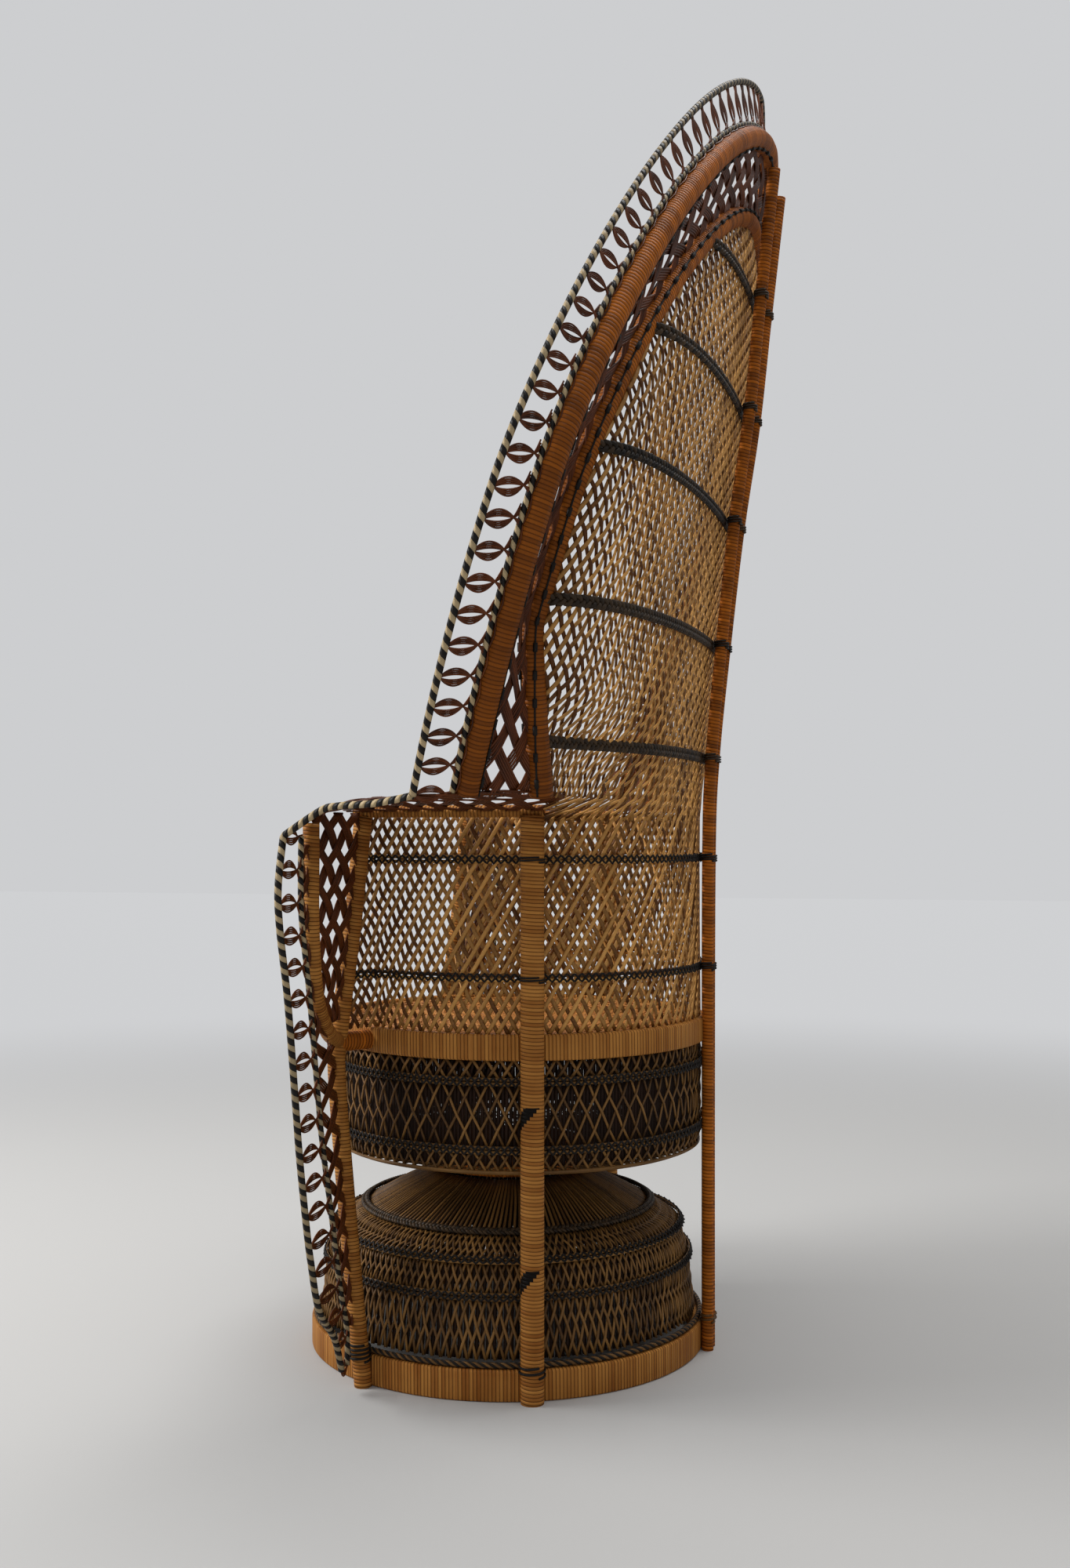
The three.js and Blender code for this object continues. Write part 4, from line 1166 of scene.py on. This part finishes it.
def finish_named(name):
    """The finish with that name, made the first time that it is asked for."""
    found = bpy.data.materials.get(name)
    if found:
        return found
    sizes = bpy.context.scene.chair_sizes
    tints = bpy.context.scene.chair_colours
    tint = {key: (*getattr(tints, key), 1) for key in ChairColours.__annotations__}
    amber = (tint["amber"], tint["amber_dark"], sizes.wrap_pitch)
    honey = (tint["honey"], tint["honey_dark"], sizes.wrap_pitch)
    makers = {
        "Amber wrapped cane": lambda: wrapped_finish(name, *amber),
        "Shaded-below wrapped cane": lambda: wrapped_finish(name, *amber, shaded_below=True),
        "Honey wrapped cane": lambda: wrapped_finish(name, *honey),
        "Patched leg cane": lambda: wrapped_finish(name, *honey, patch=tint["black"]),
        "Striped cane": lambda: striped_finish(name, tint["black"], tint["cream"], sizes.stripe_pitch),
        "Woven cane strand": lambda: strand_finish(name, tint["strand"], tint["strand_dark"], 0.48, 0.85),
        "Pedestal cane strand": lambda: strand_finish(name, tint["pedestal"], tint["pedestal_dark"]),
        # the inner stakes are coloured as painted shade
        "Shaded inner cane": lambda: strand_finish(
            name, tint["pedestal_dark"], darker(tint["pedestal_dark"], 0.3), 0.7),
        "Seat cane strand": lambda: strand_finish(name, tint["honey"], tint["honey_dark"]),
        "Brown lace cane": lambda: strand_finish(name, tint["lace"], tint["lace_dark"], 0.42),
        # the dye reflects a little more where the light catches it
        "Black dyed cane": lambda: strand_finish(name, darker(tint["black"], 1.9), tint["black"], 0.62),
        "Braid cane": lambda: strand_finish(name, tint["braid"], tint["black"], 0.5, 0.8),
    }
    return makers[name]()


class CHAIR_OT_frame(bpy.types.Operator):
    """Makes the wound hoops, legs, poles, rails, tubes and ties"""

    bl_idname = "chair.frame"
    bl_label = "Wound frame"

    def execute(self, context):
        for node, line, towards, radius in (
                ("outer_hoop", OUTER_LINE, INNER_LINE, OUTER_HOOP_RADIUS),
                ("inner_hoop", INNER_LINE, OUTER_LINE, INNER_HOOP_RADIUS)):
            wound, black = bmesh.new(), bmesh.new()
            pole(wound, line, radius, 16)
            here, there = paired(line, towards, 420)
            for face in (1, -1):
                stitched_line(black, here, there, radius, face)
            place_piece(node, "wrapped_cane", (wound, "Shaded-below wrapped cane"), (black, "Black dyed cane"))
        for side, word in SIDES:
            leg = front_leg_line(side)
            rear = [p for p in pole_line(side) if p.z < POLE_DRAWN_TOP]
            rail = [arm_rail_point(side, k / 8) for k in range(9)]
            tube = wing_tube_line(side)
            tube.insert(0, tube[0] + UP * WING_TUBE_RISE)
            outer = at_height(leg, TIE_HEIGHT)
            hub = Vector((0, SEAT_RING["back"], TIE_HEIGHT))
            inner = hub + (outer - hub).normalized() * (SEAT_RING["radius"] - TIE_BITE)
            tie = [inner, inner.lerp(outer, 0.5), outer]
            slot, honey, amber = "wrapped_cane", "Honey wrapped cane", "Amber wrapped cane"
            place_pole(f"front_leg_{word}", slot, honey, leg, FRONT_LEG_RADIUS)
            place_pole(f"rear_pole_{word}", slot, amber, rear, POLE_RADIUS)
            place_pole(f"arm_rail_{word}", slot, honey, rail, ARM_RAIL_DRAWN)
            place_pole(f"wing_tube_{word}", slot, honey, tube, WING_TUBE_RADIUS)
            place_pole(f"side_leg_{word}", "wrapped_cane_light", "Patched leg cane", side_leg_line(side),
                       LEG_RADIUS, 20)
            place_pole(f"seat_tie_{word}", slot, amber, tie, TIE_RADIUS, 14, 3)
        return {"FINISHED"}


class CHAIR_OT_rings(bpy.types.Operator):
    """Makes the foot, waist and seat rings and the two-tone rope on the foot ring"""

    bl_idname = "chair.rings"
    bl_label = "Wound rings"

    def execute(self, context):
        for node, ring, finish, slot in (
                ("foot_ring", FOOT_RING, "Honey wrapped cane", "wrapped_cane"),
                ("waist_ring", WAIST_RING, "Amber wrapped cane", "wrapped_cane"),
                ("seat_ring", SEAT_RING, "Honey wrapped cane", "wrapped_cane_light")):
            bm = bmesh.new()
            wound_ring(bm, ring)
            place_piece(node, slot, (bm, finish))
        dark, pale = bmesh.new(), bmesh.new()
        wide, turns, height = FOOT_ROPE["wide"], FOOT_ROPE["turns"], FOOT_ROPE["height"]
        path = ring_line(FOOT_ROPE["radius"], height, 0, 720)
        for k, bm in enumerate((dark, pale, dark, pale)):
            weave_along(bm, path, spokes_of(path, 0), True, oval(*ROPE_STRAND),
                        lambda share, k=k: (wide * math.sin(2 * math.pi * (turns * share + k / 4)),
                                            wide * math.cos(2 * math.pi * (turns * share + k / 4))))
        for side in (LEFT, RIGHT):
            for bm, line, drop, radius, turns, gap in (
                    (dark, side_leg_line(side), 3, LEG_RADIUS + 1.2, 2, 6),
                    (dark, front_leg_line(side), 0, FRONT_LEG_RADIUS + 1.4, 4, 5),
                    (pale, pole_line(side), 0, POLE_RADIUS + 1.2, 2, 5)):
                binding(bm, at_height(line, height - drop), radius, FOOT_CORD, turns, gap)
        place_piece("foot_braid", "striped_cane", (dark, "Black dyed cane"), (pale, "Pedestal cane strand"))
        return {"FINISHED"}


class CHAIR_OT_rims(bpy.types.Operator):
    """Makes the two-tone rims of the hood, arms and wings, and the rods inside the lace"""

    bl_idname = "chair.rims"
    bl_label = "Two-tone rims"

    def execute(self, context):
        lines = [("hood_rim", RIM_LINE, RIM_RADIUS), ("hood_rod", ROD_LINE, ROD_RADIUS)]
        for side, word in SIDES:
            rod, rim = wing_lines(side)
            lines.append((f"wing_rim_{word}", arm_rim_line(side)[:-1] + rim, RIM_RADIUS))
            lines.append((f"wing_rod_{word}", rod, ROD_RADIUS))
        for node, line, radius in lines:
            place_pole(node, "striped_cane", "Striped cane", line, radius, 10, 4)
        return {"FINISHED"}


class CHAIR_OT_lace(bpy.types.Operator):
    """Makes the border of loops round the hood and down both wings"""

    bl_idname = "chair.lace"
    bl_label = "Lace of loops"

    def execute(self, context):
        width = context.scene.chair_sizes.lace_strand * MM_PER_METRE
        strand = oval(width * 0.74, 1.7, 6)
        bm = bmesh.new()
        eyes(bm, *paired(ROD_LINE, RIM_LINE, HOOD_LOOPS), strand)
        scallops(bm, oval(width * 0.8, 1.4, 5))
        place_piece("hood_lace", "lace_cane", (bm, "Brown lace cane"))
        for side, word in SIDES:
            bm = bmesh.new()
            eyes(bm, *paired(*wing_lines(side), WING_LOOPS), strand)
            place_piece(f"wing_lace_{word}", "lace_cane", (bm, "Brown lace cane"))
        return {"FINISHED"}


def shell_heights(low, high, step):
    """Even heights from low to high, about a step apart."""
    count = round((high - low) / step)
    return [lerp(low, high, k / count) for k in range(count + 1)]


class CHAIR_OT_back(bpy.types.Operator):
    """Weaves the wall round the seat and the hood above it"""

    bl_idname = "chair.back"
    bl_label = "Woven back"

    def execute(self, context):
        sizes = context.scene.chair_sizes
        thickness = sizes.strand_thickness * MM_PER_METRE
        strand = oval(sizes.strand_width * MM_PER_METRE, thickness, 6)
        pitch = sizes.weave_pitch * MM_PER_METRE
        row = sizes.weave_row * MM_PER_METRE
        foot = INNER_ARCH["foot"]
        hood_heights = (shell_heights(WALL_TOP, foot, row)[:-1]
                        + shell_heights(foot, INNER_ARCH["crown"] - HOOD_HOOP_GAP, row))
        for node, plan, step, heights in (
                ("basket_wall", wall_plan, 0, shell_heights(SEAT_HEIGHT, WALL_WOVEN_TOP, row)),
                ("back_hood", hood_plan, 1, hood_heights)):
            bm = bmesh.new()
            shell_weave(bm, Shell(plan, heights), pitch, strand, thickness / 2 + WEAVE_GAP, step)
            place_piece(node, "woven_cane", (bm, "Woven cane strand"))
        return {"FINISHED"}


def band_path(plan, height):
    """A level line outside a shell at a height, with the outward direction at each point."""
    half = spaced(plan(height), 2)
    line = mirrored(half[1:]) + half
    outs = [UP.cross(along).normalized() for along in tangents(line, False)]
    if outs[len(line) // 2].y < 0:
        outs = [-out for out in outs]
    return [p + out * BAND_STANDOFF for p, out in zip(line, outs)], outs


class CHAIR_OT_bands(bpy.types.Operator):
    """Makes the dark bands across the back and their bindings to the poles and legs"""

    bl_idname = "chair.bands"
    bl_label = "Dark bands"

    def execute(self, context):
        sizes = context.scene.chair_sizes
        for i, height in enumerate(WALL_BANDS + HOOD_BANDS):
            in_wall = height in WALL_BANDS
            path, outs = band_path(wall_plan if in_wall else hood_plan, height)
            black = bmesh.new()
            node = f"band_{i + 1}"
            for side in (LEFT, RIGHT):
                binding(black, at_height(pole_line(side), height), POLE_RADIUS + 1, POLE_CORD, 3, 3)
                if in_wall:
                    binding(black, at_height(side_leg_line(side), height), LEG_RADIUS + 1, LEG_CORD, 2, 3)
            if in_wall:
                pale = bmesh.new()
                cross_stitch(black, pale, path, outs, sizes.stitch_pitch * MM_PER_METRE, False)
                place_piece(node, "black_cane", (black, "Black dyed cane"), (pale, "Woven cane strand"))
            else:
                plait(black, path, outs, sizes.plait_pitch * MM_PER_METRE, 4.4, oval(*HOOD_PLAIT_STRAND))
                place_piece(node, "black_cane", (black, "Braid cane"))
        return {"FINISHED"}


class CHAIR_OT_braids(bpy.types.Operator):
    """Makes the braids round the pedestal and the drum"""

    bl_idname = "chair.braids"
    bl_label = "Pedestal braids"

    def execute(self, context):
        sizes = context.scene.chair_sizes
        stitch = sizes.stitch_pitch * MM_PER_METRE
        stitched = []
        for i, place in enumerate((4, 3, 2)):
            before, here, after = (Vector(BASE_LINE[place + k]) for k in (-1, 0, 1))
            run = (after - before).normalized()
            radius = here.x + BASE_BRAID_STANDOFF * run.y
            path = ring_line(radius, here.y - BASE_BRAID_STANDOFF * run.x, 0, BRAID_CUTS)
            outs = [spoke * run.y - UP * run.x for spoke in spokes_of(path, 0)]
            if i == 0:
                black = bmesh.new()
                # this plait is finer than those of the hood
                plait(black, path, outs, 0.7 * sizes.plait_pitch * MM_PER_METRE, 3.6,
                      oval(*BASE_PLAIT_STRAND), True)
                place_piece("base_braid_1", "black_cane", (black, "Braid cane"))
            else:
                stitched.append((f"base_braid_{i + 1}", path, outs, 4.6))
        for i, height in enumerate(DRUM_BRAIDS):
            path = ring_line(DRUM_RADIUS + DRUM_BRAID_STANDOFF, height, DRUM_BACK, BRAID_CUTS)
            stitched.append((f"drum_braid_{i + 1}", path, spokes_of(path, DRUM_BACK), 5.4))
        for node, path, outs, wide in stitched:
            black, pale = bmesh.new(), bmesh.new()
            cross_stitch(black, pale, path, outs, stitch, True, wide)
            place_piece(node, "black_cane", (black, "Black dyed cane"), (pale, "Pedestal cane strand"))
        return {"FINISHED"}


class CHAIR_OT_pedestal(bpy.types.Operator):
    """Weaves the base and the drum of the pedestal"""

    bl_idname = "chair.pedestal"
    bl_label = "Woven pedestal"

    def execute(self, context):
        # stakes inside each weave close it against the light; they are a dark layer coloured as painted
        # shade, standing for the shade inside the pedestal
        woven, shade_stakes = bmesh.new(), bmesh.new()
        for weave in BASE_WEAVES:
            ring_lattice(woven, weave, 0)
        ring_lattice(woven, BASE_SPOKES, 0, (1,))
        for weave in BASE_SHADE_STAKES:
            ring_lattice(shade_stakes, weave, 0, (1,))
        place_piece("base_basket", "woven_cane",
                    (woven, "Pedestal cane strand"), (shade_stakes, "Shaded inner cane"))
        woven, shade_stakes = bmesh.new(), bmesh.new()
        for weave in DRUM_WEAVES:
            ring_lattice(woven, weave, DRUM_BACK)
        for radius, height in DRUM_EDGES:
            path = ring_line(radius, height, DRUM_BACK, 180)
            sweep(woven, path, spokes_of(path, DRUM_BACK), oval(*DRUM_EDGE_CORD), True)
        for weave in DRUM_SHADE_STAKES:
            ring_lattice(shade_stakes, weave, DRUM_BACK, (1,))
        place_piece("drum_basket", "woven_cane",
                    (woven, "Pedestal cane strand"), (shade_stakes, "Shaded inner cane"))
        return {"FINISHED"}


def seat_top(radius):
    """The height of the dished seat that far from its middle."""
    flat, slope = SEAT_DISH_RADII
    return SEAT_EDGE_HEIGHT - SEAT_DISH * max(0, 1 - max(radius - flat, 0) / slope)


class CHAIR_OT_seat(bpy.types.Operator):
    """Weaves the round seat inside its ring"""

    bl_idname = "chair.seat"
    bl_label = "Woven seat"

    def execute(self, context):
        bm = bmesh.new()
        for i in range(SEAT_SPOKES):
            turn = 2 * math.pi * i / SEAT_SPOKES
            path = [ring_point(radius, seat_top(radius) + (1 if (i + k) % 2 else -1), DRUM_BACK, turn)
                    for k, radius in enumerate(range(SEAT_HUB, SEAT_REACH, SEAT_ROUND))]
            sweep(bm, path, [UP] * len(path), oval(*SEAT_SPOKE_STRAND))
        # a strand that runs round lies level between two spokes and over or under each of them
        cuts = 2 * SEAT_SPOKES
        for k, radius in enumerate(range(SEAT_HUB, SEAT_REACH - 2, SEAT_ROUND)):
            path = []
            for i in range(cuts):
                lift = 0 if i % 2 else (-1.1 if (i // 2 + k) % 2 else 1.1)
                path.append(ring_point(radius, seat_top(radius) + lift, DRUM_BACK, 2 * math.pi * i / cuts))
            sweep(bm, path, [UP] * len(path), oval(*SEAT_ROUND_STRAND), True)
        path = ring_line(SEAT_HUB / 2, seat_top(SEAT_HUB / 2), DRUM_BACK, 24)
        sweep(bm, path, [UP] * len(path), oval(*SEAT_HUB_STRAND), True)
        place_piece("seat_panel", "woven_cane", (bm, "Seat cane strand"))
        return {"FINISHED"}


class CHAIR_OT_panels(bpy.types.Operator):
    """Weaves the open crossings between the hoops, on the arms and in the wings"""

    bl_idname = "chair.panels"
    bl_label = "Open panels"

    def execute(self, context):
        strand = oval(context.scene.chair_sizes.lace_strand * MM_PER_METRE * 1.15, 1.8, 5)
        near, far = paired(INNER_LINE, OUTER_LINE, HOOP_CELLS[0] * CELL_CUTS)
        # the strands end this far inside the hoops
        tucked = 3

        def between_hoops(column, row):
            place = column * CELL_CUTS
            i = min(int(place), len(near) - 2)
            low = near[i].lerp(near[i + 1], place - i)
            high = far[i].lerp(far[i + 1], place - i)
            gap = (high - low).length
            start = INNER_HOOP_RADIUS - tucked
            end = gap - OUTER_HOOP_RADIUS + tucked
            return low.lerp(high, lerp(start, end, row / HOOP_CELLS[1]) / gap)

        bm = bmesh.new()
        crossings(bm, between_hoops, HOOP_CELLS, strand, 1.3)
        place_piece("hood_diamond_lace", "lace_cane", (bm, "Brown lace cane"))
        for side, word in SIDES:
            leg, tube, rod = front_leg_line(side), wing_tube_line(side), wing_lines(side)[0]

            def on_arm(column, row):
                return arm_point(side, column / ARM_CELLS[0], row / ARM_CELLS[1])

            def in_wing(column, row):
                height = lerp(WING_PANEL_FOOT, WING_PANEL_TOP, row / WING_CELLS[1])
                point = at_height(leg, height).lerp(at_height(tube, height), column / WING_CELLS[0])
                return Vector((point.x, point.y, height))

            def in_web(column, row):
                height = lerp(WING_WEB_FOOT, WING_WEB_TOP, row / WEB_CELLS[1])
                holder = tube if height > WING_TUBE_FOOT else leg
                point = at_height(holder, height).lerp(at_height(rod, height), column)
                return Vector((point.x, point.y, height))

            for node, spot, cells, shares in (
                    ("arm_panel", on_arm, ARM_CELLS, BUNDLE_SHARES),
                    ("wing_panel", in_wing, WING_CELLS, BUNDLE_SHARES),
                    ("wing_web", in_web, WEB_CELLS, WEB_BUNDLE_SHARES)):
                bm = bmesh.new()
                crossings(bm, spot, cells, strand, 1.2, shares)
                place_piece(f"{node}_{word}", "lace_cane", (bm, "Brown lace cane"))
        return {"FINISHED"}


class CHAIR_OT_stage(bpy.types.Operator):
    """Makes the floor, the soft lights and the camera"""

    bl_idname = "chair.stage"
    bl_label = "Stage"

    def execute(self, context):
        self.add_floor(context.scene)
        self.add_light(context.scene)
        self.add_camera(context.scene)
        context.scene.view_settings.view_transform = "Standard"
        return {"FINISHED"}

    def add_floor(self, scene):
        """A matt floor. Far off, the camera sees it in the colour of the room."""
        bm = bmesh.new()
        bmesh.ops.create_grid(bm, x_segments=1, y_segments=1, size=FLOOR_HALF)
        mesh = bpy.data.meshes.new("Studio floor")
        bm.to_mesh(mesh)
        bm.free()
        finish, tree, surface, place = new_finish("Matt studio floor")
        away = add_node(tree, "ShaderNodeVectorMath", {"operation": "LENGTH"}, {0: place}, "Value")
        far = add_node(tree, RANGE, SMOOTH, {
            "Value": away, "From Min": FLOOR_FADES[0], "From Max": FLOOR_FADES[1]})
        seen = add_node(tree, "ShaderNodeLightPath", None, None, "Is Camera Ray")
        share = add_node(tree, MATH, MULTIPLY, {0: far, 1: seen})
        colour = add_node(tree, MIX, COLOURS, {
            0: share, 6: (*scene.chair_colours.floor, 1), 7: (0, 0, 0, 1)}, 2)
        tree.links.new(colour, surface.inputs["Base Color"])
        surface.inputs["Emission Color"].default_value = (*linear(ROOM_TINT), 1)
        glow = add_node(tree, MATH, MULTIPLY, {0: share, 1: ROOM_SEEN})
        tree.links.new(glow, surface.inputs["Emission Strength"])
        surface.inputs["Specular IOR Level"].default_value = 0.1
        surface.inputs["Roughness"].default_value = 0.85
        mesh.materials.append(finish)
        floor = bpy.data.objects.new("Studio floor", mesh)
        scene.collection.objects.link(floor)

    def add_light(self, scene):
        """An even room, brighter to the camera than to the chair, and three soft lamps."""
        world = scene.world or bpy.data.worlds.new("Studio")
        scene.world = world
        world.use_nodes = True
        tree = world.node_tree
        room = tree.nodes["Background"]
        room.inputs["Color"].default_value = (*linear(ROOM_TINT), 1)
        seen = add_node(tree, "ShaderNodeLightPath", None, None, "Is Camera Ray")
        strength = add_node(tree, MATH, MULTIPLY_ADD, {0: seen, 1: ROOM_SEEN - ROOM_LIGHT, 2: ROOM_LIGHT})
        tree.links.new(strength, room.inputs["Strength"])
        for name, place, size, power in LAMPS:
            lamp = bpy.data.lights.new(name, "AREA")
            lamp.shape = "SQUARE"
            lamp.size = size
            lamp.energy = power
            light = bpy.data.objects.new(name, lamp)
            light.location = place
            light.rotation_mode = "QUATERNION"
            light.rotation_quaternion = (Vector(LAMP_AIM) - Vector(place)).to_track_quat("-Z", "Y")
            scene.collection.objects.link(light)

    def add_camera(self, scene):
        """A level camera where the photograph was taken, with its view shifted up."""
        camera = bpy.data.cameras.new("Photo camera")
        camera.lens = CAMERA_LENS
        camera.sensor_width = 36
        camera.shift_y = CAMERA_SHIFT
        camera.clip_end = CAMERA_REACH
        eye = bpy.data.objects.new("Photo camera", camera)
        eye.location = CAMERA_PLACE
        eye.rotation_mode = "QUATERNION"
        eye.rotation_quaternion = Vector(CAMERA_AIM).to_track_quat("-Z", "Y")
        scene.collection.objects.link(eye)
        scene.camera = eye


PIECES = (CHAIR_OT_frame, CHAIR_OT_rings, CHAIR_OT_rims, CHAIR_OT_lace, CHAIR_OT_back, CHAIR_OT_bands,
          CHAIR_OT_braids, CHAIR_OT_pedestal, CHAIR_OT_seat, CHAIR_OT_panels, CHAIR_OT_stage)


class CHAIR_PT_panel(bpy.types.Panel):
    """Lists the chair's sizes, its colours and its pieces"""

    bl_idname = "CHAIR_PT_panel"
    bl_label = "Peacock chair"
    bl_space_type = "VIEW_3D"
    bl_region_type = "UI"
    bl_category = "Chair"

    def draw(self, context):
        for group in (context.scene.chair_sizes, context.scene.chair_colours):
            box = self.layout.box()
            for key in group.__annotations__:
                box.prop(group, key)
        for piece in PIECES:
            self.layout.operator(piece.bl_idname)


CLASSES = (ChairSizes, ChairColours, *PIECES, CHAIR_PT_panel)


def register():
    """Adds the classes and the chair's settings."""
    for kind in CLASSES:
        bpy.utils.register_class(kind)
    bpy.types.Scene.chair_sizes = bpy.props.PointerProperty(type=ChairSizes)
    bpy.types.Scene.chair_colours = bpy.props.PointerProperty(type=ChairColours)


def unregister():
    """Takes the classes and the chair's settings away."""
    del bpy.types.Scene.chair_colours
    del bpy.types.Scene.chair_sizes
    for kind in reversed(CLASSES):
        bpy.utils.unregister_class(kind)


def main():
    """Makes every piece in order."""
    register()
    random.seed(RANDOM_SEED)
    for piece in PIECES:
        group, name = piece.bl_idname.split(".")
        getattr(getattr(bpy.ops, group), name)()


if __name__ == "__main__":
    main()
